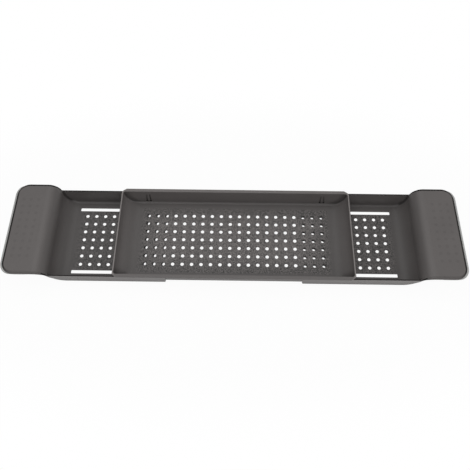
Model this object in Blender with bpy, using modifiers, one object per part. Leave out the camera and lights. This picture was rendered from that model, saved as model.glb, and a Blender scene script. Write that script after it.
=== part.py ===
"""Extendable bath tray.

A perforated centre tray with a flange round its rim rides in two outer wings. Each wing is an open
channel whose end sweeps up in a scoop and rolls over into a flat arm that rests on the bath's rim.
Metres, +Z up, +X to the right, +Y to the back. The origin is under the middle of the tray, at the
height of the lowest point. The wings stand as far out as in the picture.
"""

import math

import bmesh
import bpy
from mathutils import Matrix, Vector

# Drain holes
HOLE_PITCH = 0.0160
HOLE_DIAMETER = 0.0064
HOLE_WEB = 0.0020
HOLE_END_MARGIN = 0.0120
WING_COLUMN_PITCH = 0.01576
WING_END_MARGIN = 0.0050
HOLE_SIDES = 8

# Mouldings
FLOOR_THICKNESS = 0.0016
WALL_THICKNESS = 0.0020
WALL_SLOPE_SHARE = 0.165
OUTER_FILLET = 0.0058
INNER_FILLET = 0.0038
FILLET_STEPS = 3

# Centre tray
CENTRE_FLOOR_HALF_WIDTH = 0.0765
CENTRE_HALF_LENGTH = 0.1992
CENTRE_DEPTH = 0.0269
CENTRE_LIP_THICKNESS = 0.0022
CENTRE_SCOOP_SWEEP = math.radians(86)
FLANGE_REACH = 0.0060
FLANGE_THICKNESS = 0.0026
FLANGE_END_INSET = 0.0013
FLANGE_CHAMFER_LENGTH = 0.0074
FLANGE_CHAMFER_WIDTH = 0.0054

# Snap tongues in the centre tray's long walls
TONGUE_INSET = 0.0178
TONGUE_WIDTH = 0.0032
TONGUE_SLIT_TOP = 0.0012
TONGUE_SLIT_FOOT = 0.0032
TONGUE_LENGTH = 0.0170
TONGUE_FOOT_GAP = 0.0020
TONGUE_FOOT_HEIGHT = 0.0030

# Wings
WING_OVERLAP = 0.0867
WING_END_CHAMFER = 0.0016
WING_FLOOR_LENGTH = 0.1659
WING_WALL_HEIGHT = 0.0292
WING_SCOOP_RADIUS = 0.0269
WING_SCOOP_SWEEP = math.radians(80)
WING_LAST_HOLE_INSET = 0.0172
ARM_TOP_HEIGHT = 0.0435
ARM_FLAT_LENGTH = 0.0495
ARM_CORNER_RADIUS = 0.0200
ARM_SKIRT_DEPTH = 0.0063
ARM_EDGE_ROUND = 0.0028
ARM_FLARE_SHARE = 0.063

# Running gaps
SIDE_CLEARANCE = 0.0003
FLOOR_GAP = 0.0032
SEAT_GAP = 0.0003

# Slots in the wings' floors and the studs that run in them
SLOT_LINE_INSET = 0.0144
SLOT_WIDTH = 0.0070
SLOT_END_INSET = 0.0032
SLOT_END_SPARE = 0.0005
SLIDE_OUT = 0.0320
STUD_INSET = 0.00045
STUD_RADIUS = 0.0030
STUD_BORE_RADIUS = 0.0016
STUD_BORE_ROOF = 0.0010

# Guide clips
CLIP_HEAD_RADIUS = 0.0055
CLIP_HEAD_THICKNESS = 0.0018
CLIP_HEAD_ROUND = 0.0006
CLIP_PIN_RADIUS = 0.0013
CLIP_PIN_TIP = 0.0008

# Soft grips under the arms
GRIP_PROUD = 0.0015
GRIP_BUMPER_REACH = 0.0028
GRIP_BUMPER_DROP = 0.0018
GRIP_SIDE_INSET = 0.0002
GRIP_START_INSET = 0.0040
GRIP_INNER_CORNER_RADIUS = 0.0080

# Facets
SCOOP_STEPS = 10
ROLL_STEPS = 8
CORNER_STEPS = 7
ARM_EDGE_STEPS = 3
STUD_SIDES = 16
CLIP_SIDES = 20

# The centre tray's four corners: side in X, wall in Y
CORNERS = ((-1, -1), (-1, 1), (1, -1), (1, 1))

# A cutter runs past what it cuts by this much
OVERRUN = 0.0100

# Where a cut ends on a surface that goes on, it leaves a step as small as this
HAIR = 0.00010

# Points nearer to each other than this are one point
MERGE_DISTANCE = 0.00002

# A face looks up when this share of its direction is upwards
LEVEL_SHARE = 0.1

# Heights, from the lowest point up
WING_UNDERSIDE = CLIP_HEAD_THICKNESS + SEAT_GAP
WING_FLOOR_TOP = WING_UNDERSIDE + FLOOR_THICKNESS
WING_RIM = WING_UNDERSIDE + WING_WALL_HEIGHT
ARM_TOP = WING_UNDERSIDE + ARM_TOP_HEIGHT
ARM_UNDERSIDE = ARM_TOP - FLOOR_THICKNESS
SKIRT_FOOT = ARM_TOP - ARM_SKIRT_DEPTH
CENTRE_UNDERSIDE = WING_FLOOR_TOP + FLOOR_GAP
CENTRE_FLOOR_TOP = CENTRE_UNDERSIDE + FLOOR_THICKNESS
CENTRE_RIM = CENTRE_FLOOR_TOP + CENTRE_DEPTH

# A sloping wall is this much thicker across than it is square to its face
ACROSS_SHARE = math.hypot(1, WALL_SLOPE_SHARE)

# Centre tray's ends
CENTRE_SCOOP_RADIUS = CENTRE_DEPTH / (1 - math.cos(CENTRE_SCOOP_SWEEP))
CENTRE_FLOOR_END = (CENTRE_HALF_LENGTH - CENTRE_LIP_THICKNESS
                    - CENTRE_SCOOP_RADIUS * math.sin(CENTRE_SCOOP_SWEEP))

# Wing's length
WING_INNER_END = CENTRE_HALF_LENGTH - WING_OVERLAP
WING_FLOOR_END = WING_INNER_END + WING_FLOOR_LENGTH
WING_SCOOP_RISE = WING_SCOOP_RADIUS * (1 - math.cos(WING_SCOOP_SWEEP))
ROLL_RADIUS = (ARM_TOP - WING_FLOOR_TOP - WING_SCOOP_RISE) / (1 - math.cos(WING_SCOOP_SWEEP))
ARM_START = WING_FLOOR_END + (WING_SCOOP_RADIUS + ROLL_RADIUS) * math.sin(WING_SCOOP_SWEEP)
ARM_END = ARM_START + ARM_FLAT_LENGTH

# Slots and studs. From rest the wings slide out until the studs meet the slots' inner ends, and in
# until they meet the outer ends.
STUD_PLACE = CENTRE_FLOOR_END - STUD_INSET
SLOT_LINE = CENTRE_FLOOR_HALF_WIDTH - SLOT_LINE_INSET
SLOT_OUTER_END = WING_FLOOR_END - SLOT_END_INSET
SLOT_INNER_END = STUD_PLACE - STUD_RADIUS - SLOT_END_SPARE - SLIDE_OUT

# Drain holes fill the floors: as many rows as fit between the slots, and as many columns as fit
# between a floor's ends
HOLE_ROWS = 1 + 2 * int((SLOT_LINE - SLOT_WIDTH / 2 - HOLE_DIAMETER / 2 - HOLE_WEB) / HOLE_PITCH)
CENTRE_COLUMNS = 2 * int((CENTRE_FLOOR_END - HOLE_END_MARGIN) / HOLE_PITCH + 0.5)
WING_LAST_HOLE = WING_FLOOR_END - WING_LAST_HOLE_INSET
WING_COLUMNS = 1 + int((WING_LAST_HOLE - WING_INNER_END - WING_END_MARGIN) / WING_COLUMN_PITCH)

# Snap tongues
TONGUE_PLACE = CENTRE_FLOOR_END - TONGUE_INSET


def centre_inner_half_width(z):
    """Half the centre tray's inside width at height z."""
    return CENTRE_FLOOR_HALF_WIDTH + WALL_SLOPE_SHARE * (z - CENTRE_FLOOR_TOP)


def centre_outer_half_width(z):
    """Half the centre tray's outside width at height z, without its flange."""
    return centre_inner_half_width(z) + WALL_THICKNESS * ACROSS_SHARE


def wing_inner_half_width(z):
    """Half a wing's inside width at height z: it clears the centre tray's wall."""
    return centre_outer_half_width(z) + SIDE_CLEARANCE * ACROSS_SHARE


def wing_outer_half_width(z):
    """Half a wing's outside width at height z. Over the wall's rim it flares a little more, out to
    the arm's edge."""
    flare = ARM_FLARE_SHARE * max(0, z - WING_RIM)
    return wing_inner_half_width(z) + WALL_THICKNESS * ACROSS_SHARE + flare


def collection(name):
    """A new collection in the scene."""
    made = bpy.data.collections.new(name)
    bpy.context.scene.collection.children.link(made)
    return made


def plastic(name, colour, roughness):
    """A plain moulded material."""
    made = bpy.data.materials.new(name)
    made.use_nodes = True
    shader = made.node_tree.nodes["Principled BSDF"]
    shader.inputs["Base Color"].default_value = (*colour, 1)
    shader.inputs["Roughness"].default_value = roughness
    shader.inputs["Metallic"].default_value = 0
    made.diffuse_color = (*colour, 1)
    return made


def add_object(name, bm, where, material=None):
    """Turns a bmesh into a named object in a collection."""
    bmesh.ops.recalc_face_normals(bm, faces=bm.faces)
    mesh = bpy.data.meshes.new(name)
    bm.to_mesh(mesh)
    bm.free()
    made = bpy.data.objects.new(name, mesh)
    where.objects.link(made)
    if material:
        mesh.materials.append(material)
    return made


def add_cutter(name, bm):
    """A solid that only cuts or joins others."""
    made = add_object(name, bm, CUTTERS)
    made.hide_render = True
    made.display_type = "WIRE"
    return made


def combine(target, tool, operation):
    """A Boolean modifier on the target."""
    made = target.modifiers.new(operation.lower() + "_" + tool.name, "BOOLEAN")
    made.operation = operation
    made.object = tool
    made.solver = "EXACT"


def settle(target, angle=math.radians(30)):
    """Makes the Booleans' result the piece's own mesh, so that its smooth faces and its sharp edges
    follow the finished shape."""
    graph = bpy.context.evaluated_depsgraph_get()
    finished = bpy.data.meshes.new_from_object(target.evaluated_get(graph))
    bm = bmesh.new()
    bm.from_mesh(finished)
    bmesh.ops.remove_doubles(bm, verts=bm.verts, dist=MERGE_DISTANCE)
    bmesh.ops.dissolve_degenerate(bm, edges=bm.edges, dist=MERGE_DISTANCE)
    bm.to_mesh(finished)
    bm.free()
    rough = target.data
    target.modifiers.clear()
    target.data = finished
    bpy.data.meshes.remove(rough)
    finished.name = target.name
    finished.shade_smooth()
    finished.set_sharp_from_angle(angle=angle)


def arc(centre, radius, start, sweep, steps):
    """Points on an arc, both ends included; angles are counted from +X towards +Z."""
    return [(centre[0] + radius * math.cos(start + sweep * i / steps),
             centre[1] + radius * math.sin(start + sweep * i / steps)) for i in range(steps + 1)]


def extruded(outline, half_width):
    """The outline in X and Z, carried along Y to both sides."""
    bm = bmesh.new()
    face = bm.faces.new([bm.verts.new((x, -half_width, z)) for x, z in outline])
    grown = bmesh.ops.extrude_face_region(bm, geom=[face])["geom"]
    moved = [item for item in grown if isinstance(item, bmesh.types.BMVert)]
    bmesh.ops.translate(bm, verts=moved, vec=(0, 2 * half_width, 0))
    bmesh.ops.recalc_face_normals(bm, faces=bm.faces)
    return bm


def raised(outline, low, high):
    """The outline in X and Y, carried from one height to another."""
    bm = bmesh.new()
    face = bm.faces.new([bm.verts.new((x, y, low)) for x, y in outline])
    grown = bmesh.ops.extrude_face_region(bm, geom=[face])["geom"]
    moved = [item for item in grown if isinstance(item, bmesh.types.BMVert)]
    bmesh.ops.translate(bm, verts=moved, vec=(0, 0, high - low))
    bmesh.ops.recalc_face_normals(bm, faces=bm.faces)
    return bm


def slope_sides(bm, half_width):
    """Moves each side's points out to the sloping wall plane."""
    for vert in bm.verts:
        vert.co.y = math.copysign(half_width(vert.co.z), vert.co.y)
    bm.normal_update()


def edges_along(bm, curve):
    """The edges, on both of Y's sides, that run from point to point of a curve in X and Z."""
    def near(vert):
        return any(math.hypot(vert.co.x - x, vert.co.z - z) < HAIR / 2 for x, z in curve)
    picked = []
    for edge in bm.edges:
        a, b = edge.verts
        if a.co.y * b.co.y > 0 and near(a) and near(b):
            picked.append(edge)
    return picked


def round_edges(bm, edges, radius, steps=FILLET_STEPS):
    """Rounds some of a bmesh's edges."""
    bmesh.ops.bevel(bm, geom=edges, offset=radius, segments=steps, profile=0.5, affect="EDGES",
                    clamp_overlap=True)


def corner_name(side, wall):
    """The name of a corner of the centre tray."""
    return ("front_" if wall < 0 else "back_") + ("left" if side < 0 else "right")


def mirrored(outline, side):
    """The outline on the right for side 1, or turned over to the left for side -1."""
    return [(side * x, z) for x, z in outline]


def rounded_plate(start, end, half_width, start_radius, end_radius):
    """A plate's outline in X and Y, with its own corner radius at each end."""
    points = []
    for x, y, radius, angle in ((end, -half_width, end_radius, -math.pi / 2),
                                (end, half_width, end_radius, 0),
                                (start, half_width, start_radius, math.pi / 2),
                                (start, -half_width, start_radius, math.pi)):
        middle = (x - math.copysign(radius, x - start - (end - start) / 2),
                  y - math.copysign(radius, y))
        points += arc(middle, radius, angle, math.pi / 2, CORNER_STEPS)
    return points


def drain_holes(name, first_column, columns, pitch, low, high):
    """One cutter for a grid of upright holes."""
    bm = bmesh.new()
    for column in range(columns):
        for row in range(HOLE_ROWS):
            place = Vector((first_column + column * pitch,
                            (row - (HOLE_ROWS - 1) / 2) * HOLE_PITCH,
                            (low + high) / 2))
            turn = Matrix.Rotation(math.pi / HOLE_SIDES, 4, "Z")
            bmesh.ops.create_cone(bm, cap_ends=True, segments=HOLE_SIDES,
                                  radius1=HOLE_DIAMETER / 2, radius2=HOLE_DIAMETER / 2,
                                  depth=high - low + 2 * FLOOR_THICKNESS,
                                  matrix=Matrix.Translation(place) @ turn)
    return add_cutter(name, bm)


def centre_profile(floor_thickness, lip_thickness):
    """The centre tray's side view, a floor line with a scoop at each end, from lip to lip. It is the
    inner face for no thickness."""
    middle = CENTRE_FLOOR_TOP + CENTRE_SCOOP_RADIUS
    right = []
    for i in range(SCOOP_STEPS + 1):
        share = i / SCOOP_STEPS
        radius = CENTRE_SCOOP_RADIUS + floor_thickness * (1 - share) + lip_thickness * share
        right.append((CENTRE_FLOOR_END + radius * math.sin(CENTRE_SCOOP_SWEEP * share),
                      middle - radius * math.cos(CENTRE_SCOOP_SWEEP * share)))
    right.append((right[-1][0], CENTRE_RIM + 2 * OVERRUN))
    return mirrored(reversed(right), -1) + right


def centre_block():
    """The centre tray's outside as one solid, rounded along its lower edges."""
    outline = centre_profile(FLOOR_THICKNESS, CENTRE_LIP_THICKNESS)
    bm = extruded(outline, CENTRE_FLOOR_HALF_WIDTH)
    slope_sides(bm, centre_outer_half_width)
    ends = (outline[0], outline[-1])
    round_edges(bm, [edge for edge in edges_along(bm, outline) if edge not in edges_along(bm, ends)],
                OUTER_FILLET)
    return bm


def centre_cavity():
    """The room inside the centre tray."""
    outline = centre_profile(0, 0)
    bm = extruded(outline, CENTRE_FLOOR_HALF_WIDTH)
    slope_sides(bm, centre_inner_half_width)
    ends = (outline[0], outline[-1])
    round_edges(bm, [edge for edge in edges_along(bm, outline) if edge not in edges_along(bm, ends)],
                INNER_FILLET)
    return bm


def flange_slab():
    """The rim's flange, before the room inside is cut out of it: chamfered at its four corners."""
    outer = centre_outer_half_width(CENTRE_RIM) + FLANGE_REACH - WALL_THICKNESS
    end = CENTRE_HALF_LENGTH - FLANGE_END_INSET
    right = [(end - FLANGE_CHAMFER_LENGTH, -outer), (end, -outer + FLANGE_CHAMFER_WIDTH),
             (end, outer - FLANGE_CHAMFER_WIDTH), (end - FLANGE_CHAMFER_LENGTH, outer)]
    return raised(right + mirrored(reversed(right), -1), CENTRE_RIM - FLANGE_THICKNESS,
                  CENTRE_RIM + OVERRUN)


def tongue_slits(side, wall):
    """A U-shaped cut that leaves a tongue hanging in a long wall."""
    foot = CENTRE_FLOOR_TOP + TONGUE_FOOT_HEIGHT
    top = foot + TONGUE_LENGTH
    half_tongue = TONGUE_WIDTH / 2
    low = half_tongue + TONGUE_SLIT_FOOT
    high = half_tongue + TONGUE_SLIT_TOP
    outline = [(-low, foot), (low, foot), (high, top), (half_tongue, top),
               (half_tongue, foot + TONGUE_FOOT_GAP), (-half_tongue, foot + TONGUE_FOOT_GAP),
               (-half_tongue, top), (-high, top)]
    inside = CENTRE_FLOOR_HALF_WIDTH - INNER_FILLET
    outside = wing_outer_half_width(CENTRE_RIM)
    bm = extruded([(side * TONGUE_PLACE + x, z) for x, z in outline], (outside - inside) / 2)
    bmesh.ops.translate(bm, verts=bm.verts, vec=(0, wall * (outside + inside) / 2, 0))
    return bm


def upright_pin(side, wall, radius, low, high):
    """A round bar on a guide stud's axis."""
    bm = bmesh.new()
    place = Matrix.Translation((side * STUD_PLACE, wall * SLOT_LINE, (low + high) / 2))
    bmesh.ops.create_cone(bm, cap_ends=True, segments=STUD_SIDES, radius1=radius, radius2=radius,
                          depth=high - low, matrix=place)
    return bm


def make_centre_tray():
    """The centre tray, with its flange, drain holes, snap tongues and four guide studs."""
    tray = add_object("centre_tray", centre_block(), PARTS, GRAPHITE)
    combine(tray, add_cutter("flange_slab", flange_slab()), "UNION")
    stud_root = CENTRE_FLOOR_TOP - FLOOR_THICKNESS / 2
    for side, wall in CORNERS:
        stud = upright_pin(side, wall, STUD_RADIUS, WING_UNDERSIDE, stud_root)
        combine(tray, add_cutter("stud_" + corner_name(side, wall), stud), "UNION")
    combine(tray, add_cutter("centre_room", centre_cavity()), "DIFFERENCE")
    first = -HOLE_PITCH * (CENTRE_COLUMNS - 1) / 2
    holes = drain_holes("centre_holes", first, CENTRE_COLUMNS, HOLE_PITCH, CENTRE_UNDERSIDE,
                        CENTRE_FLOOR_TOP)
    combine(tray, holes, "DIFFERENCE")
    bore_end = CENTRE_FLOOR_TOP - STUD_BORE_ROOF
    for side, wall in CORNERS:
        slits = add_cutter("tongue_slits_" + corner_name(side, wall), tongue_slits(side, wall))
        combine(tray, slits, "DIFFERENCE")
        bore = upright_pin(side, wall, STUD_BORE_RADIUS, WING_UNDERSIDE - OVERRUN, bore_end)
        combine(tray, add_cutter("stud_bore_" + corner_name(side, wall), bore), "DIFFERENCE")
    reach = CENTRE_HALF_LENGTH + OVERRUN
    trim = raised(rounded_plate(-reach, reach, wing_outer_half_width(CENTRE_RIM) + OVERRUN, OVERRUN,
                                OVERRUN), CENTRE_RIM, CENTRE_RIM + 3 * OVERRUN)
    combine(tray, add_cutter("rim_trim", trim), "DIFFERENCE")
    settle(tray)
    return tray


def wing_curve(thick):
    """The wing's end in side view, from its floor up the scoop and over the roll to the arm. It is
    the upper face for no thickness, and the lower face for the floor's thickness."""
    low = (WING_FLOOR_END, WING_FLOOR_TOP + WING_SCOOP_RADIUS)
    high = (ARM_START, ARM_TOP - ROLL_RADIUS)
    rise = arc(low, WING_SCOOP_RADIUS + thick, -math.pi / 2, WING_SCOOP_SWEEP, SCOOP_STEPS)
    roll = arc(high, ROLL_RADIUS - thick, math.pi / 2 + WING_SCOOP_SWEEP, -WING_SCOOP_SWEEP, ROLL_STEPS)
    return rise + roll[1:]


def below(curve, height):
    """The curve's points up to a height, with one point worked out on it at that height."""
    kept = []
    for point in curve:
        if point[1] >= height:
            last = kept[-1]
            share = (height - last[1]) / (point[1] - last[1])
            kept.append((last[0] + share * (point[0] - last[0]), height))
            return kept
        kept.append(point)
    return kept


def above(curve, height):
    """The curve's points from a height up, with one point worked out on it at that height."""
    start = below(curve, height)[-1]
    return [start] + [point for point in curve if point[1] > height]


def wing_block(side):
    """A wing's outside as one solid: channel, scoop and arm with its turned-down skirt."""
    under = [(WING_INNER_END + WING_END_CHAMFER, WING_UNDERSIDE)]
    under += below(wing_curve(FLOOR_THICKNESS), SKIRT_FOOT)
    top = above(wing_curve(0), WING_RIM)
    outline = [(WING_INNER_END, WING_UNDERSIDE + WING_END_CHAMFER)] + under
    outline += [(ARM_END, SKIRT_FOOT), (ARM_END, ARM_TOP)] + list(reversed(top))
    outline += [(WING_INNER_END, WING_RIM)]
    bm = extruded(mirrored(outline, side), CENTRE_FLOOR_HALF_WIDTH)
    bmesh.ops.bisect_plane(bm, geom=bm.verts[:] + bm.edges[:] + bm.faces[:], dist=HAIR / 10,
                           plane_co=(0, 0, WING_RIM), plane_no=(0, 0, 1))
    slope_sides(bm, wing_outer_half_width)
    ends = mirrored([(ARM_END, SKIRT_FOOT), (ARM_END, ARM_TOP)], side)
    round_edges(bm, edges_along(bm, ends), ARM_CORNER_RADIUS, CORNER_STEPS)
    lower = [point for point in under if point[1] < WING_RIM - 2 * OUTER_FILLET]
    round_edges(bm, edges_along(bm, mirrored(lower, side)), OUTER_FILLET)
    round_edges(bm, arm_rim(bm, top[0][0] - HAIR), ARM_EDGE_ROUND, ARM_EDGE_STEPS)
    return bm


def arm_rim(bm, start):
    """The edges round the arm's top, from the end of the wall's rim to the arm's end: each has the
    top on one side and a face that doesn't look up on the other."""
    picked = []
    for edge in bm.edges:
        slopes = sorted(face.normal.z for face in edge.link_faces)
        if slopes[0] < LEVEL_SHARE < slopes[1] and min(abs(vert.co.x) for vert in edge.verts) > start:
            picked.append(edge)
    return picked


def wing_cavity(side):
    """The room inside a wing's channel, open at its inner end. Its scoop runs a hair past the rim."""
    curve = below(wing_curve(-HAIR), WING_RIM + HAIR)
    curve += [(curve[-1][0], WING_RIM + OVERRUN)]
    start = WING_INNER_END - OVERRUN
    outline = [(start, curve[0][1])] + curve + [(start, WING_RIM + OVERRUN)]
    bm = extruded(mirrored(outline, side), CENTRE_FLOOR_HALF_WIDTH)
    slope_sides(bm, wing_inner_half_width)
    round_edges(bm, edges_along(bm, mirrored(outline[:-1], side)), INNER_FILLET)
    return bm


def arm_pocket(side):
    """The shallow room under the arm, inside its skirt."""
    under = above(wing_curve(FLOOR_THICKNESS), SKIRT_FOOT + SEAT_GAP)
    end = ARM_END - WALL_THICKNESS
    outline = under + [(end, ARM_UNDERSIDE), (end, SKIRT_FOOT - OVERRUN)]
    outline += [(under[0][0], SKIRT_FOOT - OVERRUN)]
    bm = extruded(mirrored(outline, side), CENTRE_FLOOR_HALF_WIDTH)
    slope_sides(bm, wing_inner_half_width)
    ends = mirrored([(end, ARM_UNDERSIDE), (end, SKIRT_FOOT - OVERRUN)], side)
    round_edges(bm, edges_along(bm, ends), ARM_CORNER_RADIUS - WALL_THICKNESS, CORNER_STEPS)
    return bm


def slot_outline(side, wall):
    """A long slot with round ends, in X and Y."""
    radius = SLOT_WIDTH / 2
    points = arc((SLOT_OUTER_END - radius, 0), radius, -math.pi / 2, math.pi, CORNER_STEPS)
    points += arc((SLOT_INNER_END + radius, 0), radius, math.pi / 2, math.pi, CORNER_STEPS)
    return [(side * x, wall * SLOT_LINE + y) for x, y in points]


def make_wing(side, word):
    """One wing, with its drain holes and its two long slots."""
    wing = add_object(word + "_wing", wing_block(side), PARTS, GRAPHITE)
    combine(wing, add_cutter(word + "_wing_room", wing_cavity(side)), "DIFFERENCE")
    combine(wing, add_cutter(word + "_arm_pocket", arm_pocket(side)), "DIFFERENCE")
    last = WING_LAST_HOLE
    first = last - WING_COLUMN_PITCH * (WING_COLUMNS - 1) if side > 0 else -last
    holes = drain_holes(word + "_wing_holes", first, WING_COLUMNS, WING_COLUMN_PITCH, WING_UNDERSIDE,
                        WING_FLOOR_TOP)
    combine(wing, holes, "DIFFERENCE")
    for wall in (-1, 1):
        slot = raised(slot_outline(side, wall), WING_UNDERSIDE - OVERRUN, WING_FLOOR_TOP + OVERRUN)
        label = word + ("_front_slot" if wall < 0 else "_back_slot")
        combine(wing, add_cutter(label, slot), "DIFFERENCE")
    settle(wing)
    return wing


def make_grip(side, word):
    """The soft grip under an arm: a pad in the pocket, and a bumper round the arm's outer end."""
    foot = SKIRT_FOOT - GRIP_PROUD
    half = wing_outer_half_width(SKIRT_FOOT) - GRIP_SIDE_INSET
    start = ARM_START + GRIP_START_INSET
    body = raised(mirrored(rounded_plate(start, ARM_END + GRIP_BUMPER_REACH, half,
                                         GRIP_INNER_CORNER_RADIUS, ARM_CORNER_RADIUS), side),
                  foot, ARM_TOP - GRIP_BUMPER_DROP)
    grip = add_object(word + "_grip", body, PARTS, SOFT_GREY)
    wide = wing_outer_half_width(ARM_TOP) + SEAT_GAP
    room = raised(mirrored(rounded_plate(start - OVERRUN, ARM_END + SEAT_GAP, wide, OVERRUN / 2,
                                         ARM_CORNER_RADIUS + SEAT_GAP), side),
                  SKIRT_FOOT - SEAT_GAP, ARM_TOP + OVERRUN)
    combine(grip, add_cutter(word + "_arm_room", room), "DIFFERENCE")
    inner = wing_inner_half_width(SKIRT_FOOT) - SEAT_GAP
    pad = raised(mirrored(rounded_plate(start, ARM_END - WALL_THICKNESS - SEAT_GAP, inner,
                                        GRIP_INNER_CORNER_RADIUS,
                                        ARM_CORNER_RADIUS - WALL_THICKNESS - SEAT_GAP), side),
                 SKIRT_FOOT - 2 * SEAT_GAP, ARM_UNDERSIDE - SEAT_GAP)
    combine(grip, add_cutter(word + "_grip_pad", pad), "UNION")
    settle(grip)
    return grip


def make_clip(side, wall):
    """A push-in clip: its head holds the wing's floor, its pin sits in the stud's bore. The profile
    is turned about the pin's axis."""
    pin_top = CENTRE_FLOOR_TOP - STUD_BORE_ROOF - SEAT_GAP
    profile = [(0, pin_top),
               (CLIP_PIN_RADIUS - CLIP_PIN_TIP / 2, pin_top),
               (CLIP_PIN_RADIUS, pin_top - CLIP_PIN_TIP),
               (CLIP_PIN_RADIUS, CLIP_HEAD_THICKNESS),
               (CLIP_HEAD_RADIUS, CLIP_HEAD_THICKNESS),
               (CLIP_HEAD_RADIUS, CLIP_HEAD_ROUND),
               (CLIP_HEAD_RADIUS - CLIP_HEAD_ROUND, 0),
               (0, 0)]
    name = "guide_clip_" + corner_name(side, wall)
    mesh = bpy.data.meshes.new(name)
    mesh.from_pydata([(x, 0, z) for x, z in profile], [(i, i + 1) for i in range(len(profile) - 1)], [])
    mesh.materials.append(CLIP_GREY)
    clip = bpy.data.objects.new(name, mesh)
    PARTS.objects.link(clip)
    clip.location = (side * STUD_PLACE, wall * SLOT_LINE, 0)
    screw = clip.modifiers.new("turn", "SCREW")
    screw.axis = "Z"
    screw.angle = 2 * math.pi
    screw.steps = CLIP_SIDES
    screw.render_steps = CLIP_SIDES
    screw.use_merge_vertices = True
    screw.merge_threshold = 0.00001
    screw.use_smooth_shade = False
    return clip


for old in list(bpy.data.objects):
    bpy.data.objects.remove(old, do_unlink=True)

PARTS = collection("extendable_bath_tray")
CUTTERS = collection("cutters")
GRAPHITE = plastic("graphite_plastic", (0.127, 0.119, 0.115), 0.45)
CLIP_GREY = plastic("clip_plastic", (0.080, 0.075, 0.073), 0.5)
SOFT_GREY = plastic("soft_grip", (0.33, 0.33, 0.32), 0.7)

make_centre_tray()
for side, word in ((-1, "left"), (1, "right")):
    slide = bpy.data.objects.new(word + "_wing_slide", None)
    PARTS.objects.link(slide)
    for piece in (make_wing(side, word), make_grip(side, word)):
        piece.parent = slide
for side, wall in CORNERS:
    make_clip(side, wall)
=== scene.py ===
"""Extendable bath tray: moulded surfaces, finishes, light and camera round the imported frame.

Every piece is a surface worked out as an array of points: a loop of rounded outlines carried from
level to level, a section carried along the tray's profile, or a profile turned about an axis.
Metres, +Z up, +X to the right, +Y to the back, as in the frame.
"""

import math

import bmesh
import bpy
import numpy as np
from bpy.props import FloatProperty, FloatVectorProperty, PointerProperty
from bpy.types import Operator, Panel, PropertyGroup
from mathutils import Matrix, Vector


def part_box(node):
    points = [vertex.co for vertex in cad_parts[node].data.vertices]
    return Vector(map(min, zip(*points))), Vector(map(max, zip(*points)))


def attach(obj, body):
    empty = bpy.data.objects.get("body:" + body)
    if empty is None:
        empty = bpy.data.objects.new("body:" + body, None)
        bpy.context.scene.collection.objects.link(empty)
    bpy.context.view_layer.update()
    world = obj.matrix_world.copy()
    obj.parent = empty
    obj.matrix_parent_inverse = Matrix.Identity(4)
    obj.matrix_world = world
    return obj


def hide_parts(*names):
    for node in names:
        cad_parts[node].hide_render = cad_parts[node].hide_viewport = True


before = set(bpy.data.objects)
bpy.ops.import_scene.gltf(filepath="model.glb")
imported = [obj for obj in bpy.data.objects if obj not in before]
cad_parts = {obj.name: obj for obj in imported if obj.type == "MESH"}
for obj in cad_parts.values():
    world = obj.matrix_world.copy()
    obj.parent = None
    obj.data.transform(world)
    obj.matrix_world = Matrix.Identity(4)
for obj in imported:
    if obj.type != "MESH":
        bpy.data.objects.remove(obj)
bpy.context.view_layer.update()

bl_info = {
    "name": "Extendable bath tray",
    "version": (1, 0, 0),
    "blender": (4, 5, 0),
    "location": "3D View > Sidebar > Bath tray",
    "description": "Builds a perforated bath tray with two sliding wings from sizes and finishes",
    "category": "Object",
}

_, CENTRE_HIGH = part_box("centre_tray")
WING_LOW, WING_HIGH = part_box("right_wing")
GRIP_LOW, GRIP_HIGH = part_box("right_grip")
CLIP_LOW, CLIP_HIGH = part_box("guide_clip_back_right")

SIDES = ((-1, "left"), (1, "right"))
CORNERS = {"front_left": (-1, -1), "back_left": (-1, 1),
           "front_right": (1, -1), "back_right": (1, 1)}
HOLE_ROWS, CENTRE_COLUMNS, WING_COLUMNS = 7, 20, 10
COVERED_COLUMNS = 3    # A wing's innermost ones, which are always under the centre tray
DIMPLE_COLUMNS, DIMPLE_ROWS = 3, 9

# Rows and columns of the surfaces
SCOOP_ROWS, ROLL_ROWS, CENTRE_SCOOP_ROWS = 25, 23, 31
HOLE_TURNS = np.linspace(0, 2 * math.pi, 16, endpoint=False) + math.pi / 4
BREAKS = np.array([-1, -math.tan(math.pi / 8), 0, math.tan(math.pi / 8), 1])
CORNER_TURNS = np.linspace(0, math.pi / 2, 11)[1:-1]

# Fixed measures in metres, and shares
MERGE_DISTANCE = 0.000004
SHARP_FROM = math.radians(32)
ROUND = 2    # The power of a round corner's superellipse
CHAMFER_POWER = 1.12    # That of the flange's corner cuts, which are nearly straight
CHAMFER_SHRINK = 0.6    # How much a corner cut shrinks with the flange's rounded edge
# Painted shade in the centre tray's creases between floor and walls
CENTRE_CREASE, CREASE_END = 0.004, 0.0015    # Dark between these: over the floor, under the rim
# How dark the creases are along the sides and, in their front half, across the ends, and from
# what share of half their length on. Then angles round a back and a front corner, and how dark
# the crease is there.
SIDE_DARK, SIDE_DARK_FROM = 0.5, 0.93
END_DARK, END_DARK_FROM = 0.6, 0.78
BACK_BEND = ((0.0, 0.5, 0.8, 1.2, 1.5), (0.5, 0.68, 0.68, 0.25, 0.1))
FRONT_BEND = ((0.0, 0.8, 1.5), (0.5, 0.75, 0.6))
# Painted shade in the rings round the drain holes
HOLE_RING_SHADE = 0.4    # How dark the rings round the holes are
# Painted highlight along the lips; this is the back lip's share of it
BACK_LIP = 0.35    # How light the back lip is beside the other lips
TONGUE_STEP = 0.35    # A tongue's end over its slits' foot, as a share of their width there
STUD_SUNK, STUD_ROOF = 0.0006, 0.0002    # The stud's top in the floor, and its bore's under it
STUD_SOFT = 0.0003
SEAM_OUT = 0.0099    # From a slot's line out to where a wing's wall starts
HEEL_FADE = (0.0120, 0.0020)    # The outer fillet fades from over the underside to under the rim
LEAST_HEEL = 0.0006    # What is left of its radius there
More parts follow.
